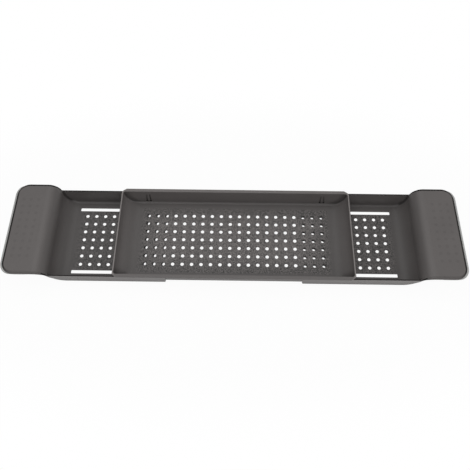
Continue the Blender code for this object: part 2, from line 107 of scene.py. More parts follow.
PLATE_FILLET = (0.0008, 0.0030)    # How far the skirt's inside curves in under the plate
# Painted shade in a wing's creases, and in a line round the arm's rounded edge
CREASE_START, CREASE_FULL = 0.0005, 0.0060    # Heights over a wing's floor
ARM_LINE = (0.0010, 0.0020)    # Dark up to the first distance in from the arm's rounded edge
FRONT_ARM_LINE = 0.3    # How dark that line is along the arms' front
GRIP_INSET, SEAT_DIP = 0.0002, 0.00001    # In from the skirt's outside, and inwards under its foot
GRIP_FOOT = ((-0.0008, 0.0), (-0.0003, 0.0002))    # Out and up from the foot
GRIP_BELLY = (0.35, 0.0005)    # A share of the bumper's reach out, and up from the foot
GRIP_PROFILE = ((0.90, 0), (1.00, 0.45), (0.94, 0.75), (0.72, 0.93), (0.45, 1))    # Its shares
BUMPER_FADE = (0.05, 0.80)    # The direction's X from which the bumper swells and where it is full
CLIP_SOFT, CLIP_DIMPLE_DEPTH, CLIP_TIP = 0.0004, 0.0005, 0.0010

# The finishes
GRAIN_SCALE = 0.62    # A noise texture of this scale has grains of about one metre
CLOUD_SCALE = 22.0
NOISE_RANGE = (0.3, 0.7)    # Where most of a noise texture's values lie
CLOUD_SPREAD, GRAIN_SPREAD, GLOSS_SPREAD = 0.035, 0.03, 0.03
CENTRE_SPECKLED = (0.163, 0.064, 0.0092)    # Along X and Y from the middle, and in height
WING_SPECKLED = (0.272, 0.058, 0.0045)
# Where the painted light on the floors begins to fade, as shares of those reaches
GLOW_STARTS = (0.74, 0.40, 0.97)    # Shares of those reaches
REACH_FADE = (0.97, 1.03)    # The speckle fades between these shares of them
SPECKLE_RANGE = (0.38, 0.62)    # The noise's values that become the least and the most speckle
# The arms' top is lighter than just below it: a painted sheen
ARM_FACE, ARM_SHEEN = 0.0004, (0.0060, 0.0002)    # Under the arms' top: dimpled above, toned between
DIMPLE_EDGE = (0.0014, 0.0042)    # A dimple is full up to the first radius and ends at the second

WHITE = (1.0, 1.0, 1.0, 1.0)

# Each lamp's place and size
LAMPS = {"overhead": ((-0.35, 0.10, 1.90), (2.4, 1.6)), "side": ((1.70, 0.10, 1.10), (1.0, 1.4)),
         "front": ((0.30, -1.50, 0.75), (1.8, 0.9))}


def length(name, description, default):
    """A length that the user may change."""
    return FloatProperty(name=name, description=description, default=default, min=0.0,
                         unit="LENGTH", precision=4)


def share(name, description, default):
    """A plain number from nought to one."""
    return FloatProperty(name=name, description=description, default=default, min=0.0, max=1.0,
                         subtype="FACTOR")


def angle(name, description, degrees):
    """An angle that the user may change."""
    return FloatProperty(name=name, description=description, default=math.radians(degrees),
                         unit="ROTATION")


def shift(name, description, default):
    """Two lengths, along X and along Y, that the user may change."""
    return FloatVectorProperty(name=name, description=description, default=default, size=2,
                               unit="LENGTH", precision=4)


def colour(name, description, default):
    """A colour that the user may change."""
    return FloatVectorProperty(name=name, description=description, default=default, min=0.0,
                               max=1.0, subtype="COLOR")


class MouldingSizes(PropertyGroup):
    """Sizes that the centre tray and the wings share."""
    floor: length("Floor thickness", "Thickness of the perforated floors", 0.0016)
    wall: length("Wall thickness", "Thickness of the long walls, square to their faces", 0.0020)
    slope: share("Wall slope", "How far a long wall leans out for each metre of height", 0.165)
    inner_fillet: length("Inner fillet", "Radius between floor and wall, inside", 0.0038)
    outer_fillet: length("Outer fillet", "Radius between floor and wall, outside", 0.0058)
    edge: length("Edge rounding", "Radius along the rims' edges", 0.0005)
    pitch: length("Hole pitch", "Distance from one drain hole to the next", 0.0160)
    hole_edge: length("Hole edge", "Radius round the top of a drain hole", 0.0003)
    hole_flare: length("Hole flare", "How much a drain hole's radius grows downwards", 0.0009)
    # The darker ring round a drain hole is painted shade
    hole_ring: length("Hole ring", "Width of the darker ring round a drain hole", 0.0012)


class CentreSizes(PropertyGroup):
    """Sizes of the centre tray."""
    half_width: length("Half floor width", "Half the inside width at the floor", 0.0765)
    hole: length("Hole diameter", "Diameter of the centre tray's drain holes", 0.0060)
    depth: length("Depth", "Height of the rim over the floor", 0.0269)
    lip: length("Lip thickness", "Thickness of the end scoops at the rim", 0.0022)
    sweep: angle("Scoop sweep", "How far each end scoop turns up", 86)
    flange: length("Flange thickness", "Height of the flange's edge", 0.0026)
    chamfer_along: length("Chamfer along", "Length of the flange's corner cut along", 0.0080)
    chamfer_across: length("Chamfer across", "Length of the flange's corner cut across", 0.0060)
    tongue_inset: length("Tongue inset", "From the floor's end back to a snap tongue", 0.0143)
    tongue_width: length("Tongue width", "Width of a snap tongue", 0.0038)
    slit_top: length("Slit top", "Width of the slits at the tongue's root", 0.0012)
    slit_foot: length("Slit foot", "Width of the slits at the tongue's end", 0.0032)
    tongue_length: length("Tongue length", "Height of the slits", 0.0170)
    tongue_foot: length("Tongue foot", "Height of the slits' lower end over the floor", 0.0030)
    stud_radius: length("Stud radius", "Radius of the guide studs", 0.0030)
    stud_bore: length("Stud bore", "Radius of the studs' bores", 0.0016)
    stud_inset: length("Stud inset", "From the floor's end back to a stud", 0.00045)


class WingSizes(PropertyGroup):
    """Sizes of the two wings."""
    floor_length: length("Floor length", "Length of a wing's flat floor", 0.1659)
    wall_height: length("Wall height", "Height of the rim over the wing's underside", 0.0292)
    scoop: length("Scoop radius", "Radius of the scoop at the wing's end", 0.0269)
    sweep: angle("Scoop sweep", "How far the scoop turns up before it rolls over", 80)
    corner: length("Arm corner", "Radius of the arm's corners", 0.0200)
    skirt: length("Skirt depth", "Height of the arm's turned-down skirt", 0.0063)
    round: length("Arm rounding", "Radius along the arm's top edge", 0.0030)
    flare: share("Arm flare", "How much more the arm's edge leans out than the wall", 0.063)
    clearance: length("Clearance", "Room between the centre tray's walls and a wing's", 0.0003)
    hole: length("Hole diameter", "Diameter of a wing's drain holes", 0.0058)
    covered_left: shift("Covered holes, left", "How far outwards and back the left wing's holes "
                        "stand that the centre tray always covers", (-0.0004, 0.0020))
    covered_right: shift("Covered holes, right", "How far outwards and back the right wing's holes "
                         "stand that the centre tray always covers", (0.0008, 0.0))
    hole_pitch: length("Hole pitch along", "Distance between the wing's columns of holes", 0.01576)
    last_hole: length("Last hole inset", "From the floor's end back to the last holes", 0.0172)
    slot_line: length("Slot line", "From the middle out to a slot's line", 0.0621)
    slot_width: length("Slot width", "Width of the long slots", 0.0066)
    slot_corner: length("Slot corner", "Radius of the corners at the slots' ends", 0.0014)
    slot_end: length("Slot end inset", "From the floor's end back to a slot's end", 0.0032)
    slot_length: length("Slot length", "Length of the long slots", 0.1430)
    end_cut: length("End cut", "How far the walls' inner ends slant back at the foot", 0.0039)
    end_rise: length("End cut height", "Height over which the walls' inner ends slant", 0.0085)


class GripSizes(PropertyGroup):
    """Sizes of the soft grips under the arms."""
    gap: length("Seat gap", "Room between the grip and the arm", 0.0003)
    start: length("Start", "From the arm's start out to the grip", 0.0040)
    inner_corner: length("Inner corner", "Radius of the grip's inner corners", 0.0080)
    drop: length("Bumper drop", "From the arm's top down to the bumper's top", 0.0018)
    swell: length("Bumper swell", "How far the bumper stands out past the solid's box", 0.0008)


class ClipSizes(PropertyGroup):
    """Sizes of the guide clips."""
    head_thickness: length("Head thickness", "Thickness of a clip's head", 0.0018)
    pin: length("Pin radius", "Radius of a clip's pin", 0.0013)
    dimple: length("Head dimple", "Radius of the dimple in a clip's head", 0.0024)


class FinishSettings(PropertyGroup):
    """Colours and surface of the mouldings, and the light and shade painted into them."""
    graphite: colour("Graphite", "Colour of the moulded trays", (0.133, 0.122, 0.1185))
    clip_grey: colour("Clip grey", "Colour of the guide clips", (0.080, 0.075, 0.073))
    soft_grey: colour("Soft grey", "Colour of the soft grips", (0.46, 0.46, 0.45))
    shine: share("Tray roughness", "Roughness of the moulded trays", 0.46)
    clip_shine: share("Clip roughness", "Roughness of the guide clips", 0.40)
    soft_shine: share("Grip roughness", "Roughness of the soft grips", 0.75)
    grain: length("Grain size", "Size of the moulded grain", 0.0009)
    grain_depth: length("Grain depth", "Height of the moulded grain", 0.00003)
    # Painted shade and light by height: darker towards the bottom of the trays, and lighter at the
    # arms' top, a painted sheen
    tone_low: length("Dark below", "Height up to which the moulding is darkest", 0.0030)
    tone_high: length("Light above", "Height over which the moulding is lightest", 0.0220)
    tone_share: share("Low tone", "Share of the colour at the bottom of the trays", 0.62)
    arm_share: share("Tone under the arms", "Share of the arms' colour just below them", 0.80)
    # Painted shade along the rims, rounded edges and creases, and painted highlights along the lips
    # and the wings' outer walls
    dark_edge: share("Dark edges", "Share of the colour along the wings' rims and creases", 0.22)
    light_edge: FloatProperty(name="Light edges", description="Share of the colour along the lips",
                              default=1.75, min=1.0, max=3.0, subtype="FACTOR")
    speckle: length("Speckle size", "Size of the speckle on the perforated floors", 0.0005)
    speckle_strength: share("Speckle strength", "How much the speckle changes the colour", 0.85)
    wing_speckle: share("Wing speckle strength", "How much it changes the wings' colour", 1.0)
    # Painted light: the floors lighter towards their middle
    floor_glow: share("Floor wear", "How much lighter the centre tray's floor is", 0.40)
    wing_glow: share("Wing floor wear", "How much lighter the wings' floor is", 0.05)
    dimple_inset: length("Dimple inset", "From an arm's end in to the innermost dimples", 0.0389)
    dimple_along: length("Dimple pitch along", "Distance between the arms' dimples along X", 0.0126)
    dimple_across: length("Dimple pitch across", "Distance between the arms' dimples along Y",
                          0.0138)
    dimple_depth: length("Dimple depth", "Depth of the shallow dimples on the arms", 0.00003)
    # The dimples' darker middles are painted shade
    dimple_tone: share("Dimple tone", "How much darker the middle of a dimple is", 0.10)


class StageSettings(PropertyGroup):
    """Light, floor and camera."""
    key: FloatProperty(name="Overhead lamp", description="Power of the wide lamp overhead",
                       default=14.9, min=0.0, unit="POWER")
    side: FloatProperty(name="Side lamp", description="Power of the soft lamp on the right",
                        default=5.3, min=0.0, unit="POWER")
    front: FloatProperty(name="Front lamp", description="Power of the soft lamp in front",
                         default=4.0, min=0.0, unit="POWER")
    sky: share("Sky strength", "Strength of the even light all round", 0.36)
    floor_colour: colour("Floor colour", "Colour of the floor", (0.94, 0.94, 0.94))
    floor_shadow: share("Floor shadow", "How much of the object's shadow shows on the floor", 0.05)
    shadow_near: length("Shadow near", "Distance up to which that share holds", 0.43)
    shadow_far: length("Shadow far", "Distance from which the floor is plain white", 0.75)
    floor_reach: length("Floor reach", "Half the length of the floor's sides", 4.0)
    focal: FloatProperty(name="Focal length", description="Focal length on a 36 mm frame",
                         default=47.604, min=1.0, unit="CAMERA")
    elevation: angle("Elevation", "How far the camera looks down", 59.5761)
    azimuth: angle("Azimuth", "How far the camera stands to the right", 0.8512)
    distance: length("Distance", "From the camera to the point it looks at", 1.080462)
    target: FloatVectorProperty(name="Target", description="The point that the camera looks at",
                                default=(0.00062, 0.01101, 0.0077), subtype="XYZ", unit="LENGTH")


class Skin:
    """Patches of points and faces that become one mesh, joined where their points meet. Each point
    has an edge value for painted light and shade: one where the painted shade is darkest, along
    rims, rounded edges and creases, and minus one where the painted highlight is lightest, along
    the lips."""

    def __init__(self):
        self.points, self.faces, self.edges, self.count = [], [], [], 0

    def add(self, points, faces, edge=0.0):
        """Points and faces of a patch; the faces count the patch's own points."""
        points = np.asarray(points, float).reshape(-1, 3)
        self.points.append(points)
        self.edges.append(np.broadcast_to(edge, len(points)))
        self.faces += (np.asarray(faces) + self.count).tolist()
        self.count += len(points)

    def grid(self, points, closed=False, edge=0.0):
        """Quads between the neighbouring rows and columns of a grid of points. A closed grid joins
        its last column to its first."""
        rows, columns = points.shape[:2]
        row, here = np.meshgrid(np.arange(rows - 1) * columns,
                                np.arange(columns if closed else columns - 1), indexing="ij")
        after = (here + 1) % columns
        corners = [row + here, row + after, row + columns + after, row + columns + here]
        self.add(points, np.stack(corners, axis=-1).reshape(-1, 4),
                 np.broadcast_to(edge, points.shape[:2]).ravel())

    def flat(self, points):
        """One flat face with many corners."""
        self.add(points, np.arange(len(points))[None])

    def mirrored(self, axis, share):
        """Adds the whole skin again, with one axis turned over and its edge values times a share
        worked out from its points."""
        turned = np.concatenate(self.points)
        turned = turned * np.where(np.arange(3) == axis, -1.0, 1.0)
        faces = [[number + self.count for number in reversed(face)] for face in self.faces]
        self.points.append(turned)
        self.edges.append(np.concatenate(self.edges) * share(turned))
        self.faces += faces
        self.count += len(turned)

    def finished(self, name, turn=1):
        """The mesh, with its double points merged and its faces outwards. For turn -1 it is the one
        on the left."""
        points = np.concatenate(self.points) * np.array([turn, 1.0, 1.0])
        mesh = bpy.data.meshes.new(name)
        mesh.from_pydata(points.tolist(), [], self.faces)
        # The edge values, painted shade and painted highlights, go to the faces' corners
        edge = mesh.attributes.new("edge", "FLOAT", "CORNER")
        values = np.concatenate(self.edges)[np.concatenate(self.faces)]
        edge.data.foreach_set("value", values.astype(np.float32))
        bm = bmesh.new()
        bm.from_mesh(mesh)
        bmesh.ops.remove_doubles(bm, verts=bm.verts, dist=MERGE_DISTANCE)
        bmesh.ops.dissolve_degenerate(bm, edges=bm.edges, dist=MERGE_DISTANCE)
        bmesh.ops.recalc_face_normals(bm, faces=bm.faces)
        if not all(line.is_manifold for line in bm.edges):
            raise RuntimeError(name + " isn't closed")
        bm.to_mesh(mesh)
        bm.free()
        return mesh


def placed(name, data):
    """A new object in the scene."""
    made = bpy.data.objects.new(name, data)
    bpy.context.scene.collection.objects.link(made)
    return made


def shown(name, mesh, material, body, nodes):
    """Puts a finished mesh into the scene as a piece that rides on a body and stands for nodes."""
    piece = placed(name, mesh)
    mesh.materials.append(material)
    mesh.shade_smooth()
    mesh.set_sharp_from_angle(angle=SHARP_FROM)
    even = piece.modifiers.new("even shading", "WEIGHTED_NORMAL")
    even.keep_sharp = True
    even.weight = 50
    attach(piece, body)
    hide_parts(*nodes)


def cut(mesh, cutters, name):
    """The mesh less the cutters, worked out at once."""
    bpy.context.view_layer.update()
    body = placed(name + "_rough", mesh)
    tool = placed(name + "_cutter", cutters)
    step = body.modifiers.new("cut", "BOOLEAN")
    step.operation = "DIFFERENCE"
    step.solver = "EXACT"
    step.object = tool
    graph = bpy.context.evaluated_depsgraph_get()
    result = bpy.data.meshes.new_from_object(body.evaluated_get(graph))
    bpy.data.objects.remove(body)
    bpy.data.objects.remove(tool)
    if not result.polygons:
        raise RuntimeError(name + " is empty once it is cut")
    return result


def smooth(low, high, value):
    """Nought below low, one above high, and an S-curve between them."""
    t = np.clip((value - low) / (high - low), 0, 1)
    return t * t * (3 - 2 * t)


def column(values):
    """The values as a column, one for each row of a grid."""
    return np.asarray(values, float)[:, None]


def between(start, end, shares):
    """Values that go evenly from start to end, at these shares of the way."""
    return start + shares * (end - start)


def section(*parts):
    """A grid of points whose parts, each an X, a Y and a Z for all its rows, stand side by side."""
    return np.concatenate([np.stack(np.broadcast_arrays(*part), axis=-1) for part in parts], axis=1)


def polygon(*parts):
    """The X and Y of an outline's points, part after part."""
    return np.concatenate([np.stack(np.broadcast_arrays(*np.atleast_1d(x, y)), axis=-1)
                           for x, y in parts])


def at_height(outline, height):
    """An outline's points at a height."""
    return np.column_stack([outline, np.full(len(outline), height)])


def walked(stops, counts):
    """An outline by stops, each the X and Y of a middle, a radius and a direction in degrees. All
    four change evenly from one stop to the next, in so many steps: the points follow an arc where
    only the direction changes, and a straight side where it stays. A point is the middle plus the
    radius in that direction. Returns the points' X and Y and the directions' X and Y."""
    stops = np.array(stops, float)
    legs = [between(stops[leg], stops[leg + 1], column(np.arange(count) / count))
            for leg, count in enumerate(counts)]
    x, y, radius, degrees = np.concatenate(legs).T
    out_x, out_y = np.cos(np.radians(degrees)), np.sin(np.radians(degrees))
    return x + radius * out_x, y + radius * out_y, out_x, out_y


def rings(reach, width, corner_x, corner_y, power, height, along, across, turns):
    """Rounded rectangles, one for each row of sizes. X runs along the front at Y = minus width, and
    Y along the right end at X = reach. A corner is a quarter of a superellipse: its sine and cosine
    raised to two over the power. The back and the left end are the same, turned by half a turn."""
    reach, width, corner_x, corner_y, power, height = map(
        column, (reach, width, corner_x, corner_y, power, height))
    inner_x, inner_y = reach - corner_x, width - corner_y
    sine, cosine = np.sin(turns) ** (2 / power), np.cos(turns) ** (2 / power)
    half = section((inner_x * along, -width, height),
                   (inner_x + corner_x * sine, -inner_y - corner_y * cosine, height),
                   (reach, inner_y * across, height),
                   (inner_x + corner_x * cosine, inner_y + corner_y * sine, height))
    return np.concatenate([half, half * np.array([-1, -1, 1])], axis=1)


def about_middle(count, pitch):
    """So many places a pitch apart, evenly about nought."""
    return pitch * (np.arange(count) - (count - 1) / 2)


def cell_reaches(centres, low, high):
    """How far each hole's cell reaches to both sides. It runs halfway to the next hole, and the
    outer ones run to low and high."""
    middles = (centres[1:] + centres[:-1]) / 2
    return centres - np.append(low, middles), np.append(middles, high) - centres


def cell_lines(centres, low, high):
    """Where the holes' cells put points along one side of their block."""
    before, after = cell_reaches(centres, low, high)
    reach = np.where(BREAKS < 0, column(before), column(after))
    return np.unique(np.round(column(centres) + BREAKS * reach, 9))


def perforated(skin, columns, rows, box, radius, sizes, top, bottom, shift=(0.0, 0.0)):
    """A block of floor with a round hole in each cell. A cell's face runs from its square outline
    to the hole's circle, angle by angle: each point is the cell's middle plus a reach times the
    angle's cosine and sine. The hole's wall joins the upper and the lower face, and widens
    downwards by the flare. Shade is painted in a darker ring round the hole. The shift, which may
    differ from column to column, takes the holes off the middles of their cells."""
    edge, flare = sizes.hole_edge, sizes.hole_flare
    direction = np.stack([np.cos(HOLE_TURNS), np.sin(HOLE_TURNS)], axis=-1)
    square = direction / np.abs(direction).max(axis=1, keepdims=True)
    square = np.where(np.abs(square) > 0.999999, np.sign(square), square)    # No rounding error
    left, right = (column(np.repeat(reach, len(rows))) for reach in cell_reaches(columns, *box[0]))
    front, back = (column(np.tile(reach, len(columns))) for reach in cell_reaches(rows, *box[1]))
    middle = np.stack([np.repeat(columns, len(rows)), np.tile(rows, len(columns))],
                      axis=-1)[:, None]
    moved = np.stack([np.repeat(np.broadcast_to(part, len(columns)), len(rows)) for part in shift],
                     axis=-1)[:, None]
    outline = middle + np.stack([square[:, 0] * np.where(square[:, 0] < 0, left, right),
                                 square[:, 1] * np.where(square[:, 1] < 0, front, back)], axis=-1)
    centre = middle + moved
    # Painted shade in the ring round the hole and over its rounded edge
    lines = [(outline, top, 0), (centre + direction * (radius + edge + sizes.hole_ring), top, 0),
             (centre + direction * (radius + edge), top, HOLE_RING_SHADE),
             (centre + direction * (radius + 0.3 * edge), top - 0.3 * edge, HOLE_RING_SHADE),
             (centre + direction * radius, top - edge, HOLE_RING_SHADE),
             (centre + direction * (radius + flare), bottom, 0), (outline, bottom, 0)]
    points = np.stack([np.concatenate([line, np.full((*line.shape[:2], 1), height)], axis=-1)
                       for line, height, _ in lines], axis=1)
    for cell in points:
        skin.grid(cell, closed=True, edge=column([mark for _, _, mark in lines]))


def bowl(end, floor, middle, radii, turns, fillet, side, slope):
    """Outlines of a tray's face at rising levels. At each angle of the end scoop, level and reach
    are the scoop's; the width is the sloping wall's, or below it the fillet's arc. The corner is as
    long and as wide as the part that a ball of the fillet's radius, rolling between the scoop and
    the wall, keeps off them. Returns reach, width, corner along, corner across and height."""
    lean = math.hypot(1, slope)
    height = middle - radii * np.cos(turns)
    reach = end + radii * np.sin(turns)
    ball_height = middle - (radii - fillet) * np.cos(turns)
    ball_reach = end + (radii - fillet) * np.sin(turns)
    ball_width = side(ball_height) - fillet * lean
    touch = ball_height - fillet * slope / lean
    wall_reach = np.interp(height, touch, ball_reach)
    arc = np.clip(1 - (height - floor) / fillet, -1, 1)
    on_arc = height < touch[0]
    width = np.where(on_arc, ball_width[0] + fillet * np.sqrt(1 - arc * arc), side(height))
    return reach, width, reach - wall_reach, width - ball_width, height


def turned(profile, place, steps):
    """A profile of radius and height, turned about an upright axis at a place in X and Y."""
    turn = np.linspace(0, 2 * math.pi, steps, endpoint=False)
    radius, height = column(profile[:, 0]), column(profile[:, 1])
    return section((place[0] + radius * np.cos(turn), place[1] + radius * np.sin(turn), height))


def centre_mesh(sizes, centre):
    """The centre tray as one closed skin: a perforated block of floor, and outlines carried from
    its edge up the inside, over the rim and the flange, down the outside and back under the floor,
    less the slits of four snap tongues. Returns the mesh, half the flat floor's length and the
    height of the floor's underside."""
    rim = CENTRE_HIGH.z
    floor = rim - centre.depth
    under = floor - sizes.floor
    scoop = centre.depth / (1 - math.cos(centre.sweep))
    end = CENTRE_HIGH.x - centre.lip - scoop * math.sin(centre.sweep)
    middle = floor + scoop
    lean = math.hypot(1, sizes.slope)
    edge = sizes.edge

    def inside(height):
        return centre.half_width + sizes.slope * (height - floor)

    def outside(height):
        return inside(height) + sizes.wall * lean

    columns, rows = (about_middle(count, sizes.pitch) for count in (CENTRE_COLUMNS, HOLE_ROWS))
    block_x, block_y = sizes.pitch * CENTRE_COLUMNS / 2, sizes.pitch * HOLE_ROWS / 2
    along = cell_lines(columns, -block_x, block_x) / block_x
    across = cell_lines(rows, -block_y, block_y) / block_y
    turns = CORNER_TURNS
    sweep = np.linspace(0, centre.sweep, CENTRE_SCOOP_ROWS)
    bow = np.linspace(0, math.pi / 2, 4)
    levels = []

    def level(reach, width, corner_x, corner_y, power, height, crease=0, lip=0):
        levels.append(np.stack(np.broadcast_arrays(*np.atleast_1d(
            reach, width, corner_x, corner_y, power, height, crease, lip)), axis=-1))

    def flange(shrink, height, lip):
        cut_x, cut_y = (cut - CHAMFER_SHRINK * shrink
                        for cut in (centre.chamfer_along, centre.chamfer_across))
        level(CENTRE_HIGH.x - shrink, CENTRE_HIGH.y - shrink, cut_x, cut_y, CHAMFER_POWER, height,
              0, lip)

    # Up the inside and over the lip
    level(block_x, block_y, 0, 0, ROUND, floor)
    *shape, height = bowl(end, floor, middle, np.full(CENTRE_SCOOP_ROWS, scoop), sweep,
                          sizes.inner_fillet, inside, sizes.slope)
    low = height < rim - edge * 1.2
    # Painted shade in the crease, over the floor and under the rim
    crease = smooth(floor, floor + CENTRE_CREASE, height) * (
        1 - smooth(rim - CREASE_END, rim, height))
    level(*(value[low] for value in shape), ROUND, height[low], crease[low])
    grow = edge * (1 - np.cos(bow))
    level(*(np.interp(rim - edge, height, value) + grow for value in shape), ROUND,
          rim - edge + edge * np.sin(bow), 0, np.sin(bow))
    flange(edge * (1 - np.sin(bow)), rim - edge + edge * np.cos(bow), 1)
    foot = rim - centre.flange
    flange(edge * (1 - np.cos(bow)), foot + edge - edge * np.sin(bow), 0)

    # Down the outside, whose scoop grows thicker towards the lip
    radii = scoop + sizes.floor + (centre.lip - sizes.floor) * sweep / centre.sweep
    *shape, height = bowl(end, under, middle, radii, sweep, sizes.outer_fillet, outside,
                          sizes.slope)
    low = height < foot - 0.5 * edge
    level(*(np.interp(foot, height, value) for value in shape), ROUND, foot)
    level(*(value[low][::-1] for value in shape), ROUND, height[low][::-1])
    level(block_x, block_y, 0, 0, ROUND, under)

    # How far each of an outline's points takes part in the painted shade of the creases and the
    # painted highlight of the lips, from the front on
    table = np.concatenate(levels)
    sides = SIDE_DARK * smooth(SIDE_DARK_FROM, 1.0, np.abs(along))
    bend, front_bend = (np.interp(turns, *darkness) for darkness in (BACK_BEND, FRONT_BEND))
    front_end = END_DARK * smooth(END_DARK_FROM, 1.0, -across)
    creased = np.concatenate([sides, front_bend, front_end, bend[::-1],
                              sides, bend, front_end[::-1], front_bend[::-1]])
    lip, end_lip = np.sin(turns) ** 2, 0 * across + 1
    back_lip = BACK_LIP + (1 - BACK_LIP) * lip
    lipped = np.concatenate([0 * along, lip, end_lip, back_lip[::-1],
                             0 * along + BACK_LIP, back_lip, end_lip, lip[::-1]])
    skin = Skin()
    skin.grid(rings(*table[:, :6].T, along, across, turns), closed=True,
              edge=table[:, 6:7] * creased - table[:, 7:8] * lipped)
    perforated(skin, columns, rows, ((-block_x, block_x), (-block_y, block_y)), centre.hole / 2,
               sizes, floor, under)
    mesh = skin.finished("centre_tray_moulding")
    slits = [tongue_slits(centre, side * (end - centre.tongue_inset), floor, wall,
                          centre.half_width - sizes.inner_fillet, CENTRE_HIGH.y)
             for side, wall in CORNERS.values()]
    cutters = Skin()
    for slit in slits:
        # The slits' walls take painted shade
        cutters.grid(slit, closed=True, edge=1.0)
    for end_face in np.concatenate(slits):
        cutters.flat(end_face)
    return cut(mesh, cutters.finished("cutters"), "centre_tray"), end, under


def tongue_slits(centre, middle, floor, wall, inside, outside):
    """The outline of a pair of slits joined at the foot, carried across a long wall. Both slits
    widen evenly towards the foot, and the tongue between them is as wide all the way."""
    foot = floor + centre.tongue_foot
    top = foot + centre.tongue_length
    tongue = centre.tongue_width / 2
    low, high = tongue + centre.slit_foot, tongue + centre.slit_top
    step = foot + TONGUE_STEP * centre.slit_foot
    outline = np.array([(-low, foot), (low, foot), (high, top), (tongue, top), (tongue, step),
                        (-tongue, step), (-tongue, top), (-high, top)])
    return section((middle + outline[:, 0], column([inside, outside]) * wall, outline[:, 1]))


def stud_skin(skin, place, centre, under, low):
    """A guide stud under the centre tray's floor, with its bore: a profile turned about an axis."""
    top, roof = under + STUD_SUNK, under - STUD_ROOF
    radius, bore, soft = centre.stud_radius, centre.stud_bore, STUD_SOFT
    profile = np.array([(0, top), (radius, top), (radius, low + soft), (radius - soft, low),
                        (bore + soft, low), (bore, low + soft), (bore, roof), (0, roof)])
    skin.grid(turned(profile, place, 32), closed=True)


def wing_curve(sizes, wing):
    """The wing's profile from the floor's end to the arm's start: the scoop's arc turning up, then
    the roll's arc turning back to level. It has a row at the rim's height and one where the plate's
    underside passes the skirt's foot. Returns X, height and steepness of each row, and the X at
    which the arm starts."""
    floor, top = WING_LOW.z + sizes.floor, WING_HIGH.z
    end = WING_LOW.x + wing.floor_length
    rise = wing.scoop * (1 - math.cos(wing.sweep))
    roll = (top - floor - rise) / (1 - math.cos(wing.sweep))
    start = end + (wing.scoop + roll) * math.sin(wing.sweep)
    up = np.linspace(0, wing.sweep, SCOOP_ROWS)
    exact = [math.acos(1 - (top - height) / roll)
             for height in (WING_LOW.z + wing.wall_height, top - wing.skirt + sizes.floor)]
    over = np.sort(np.append(np.linspace(wing.sweep, 0, ROLL_ROWS)[1:], exact))[::-1]
    x = np.append(end + wing.scoop * np.sin(up), start - roll * np.sin(over))
    z = np.append(floor + wing.scoop * (1 - np.cos(up)), top - roll * (1 - np.cos(over)))
    return x, z, np.append(up, over), start


def wing_side(sizes, centre, wing, height):
    """Half a wing's outer width at a height: the centre tray's wall, the clearance and its own wall
    up to the rim, and the arm's edge, which leans out more, over it."""
    rim = WING_LOW.z + wing.wall_height
    floor = CENTRE_HIGH.z - centre.depth
    at_rim = centre.half_width + sizes.slope * (rim - floor) + (
        2 * sizes.wall + wing.clearance) * math.hypot(1, sizes.slope)
    return at_rim + np.where(height > rim, sizes.slope + wing.flare, sizes.slope) * (height - rim)


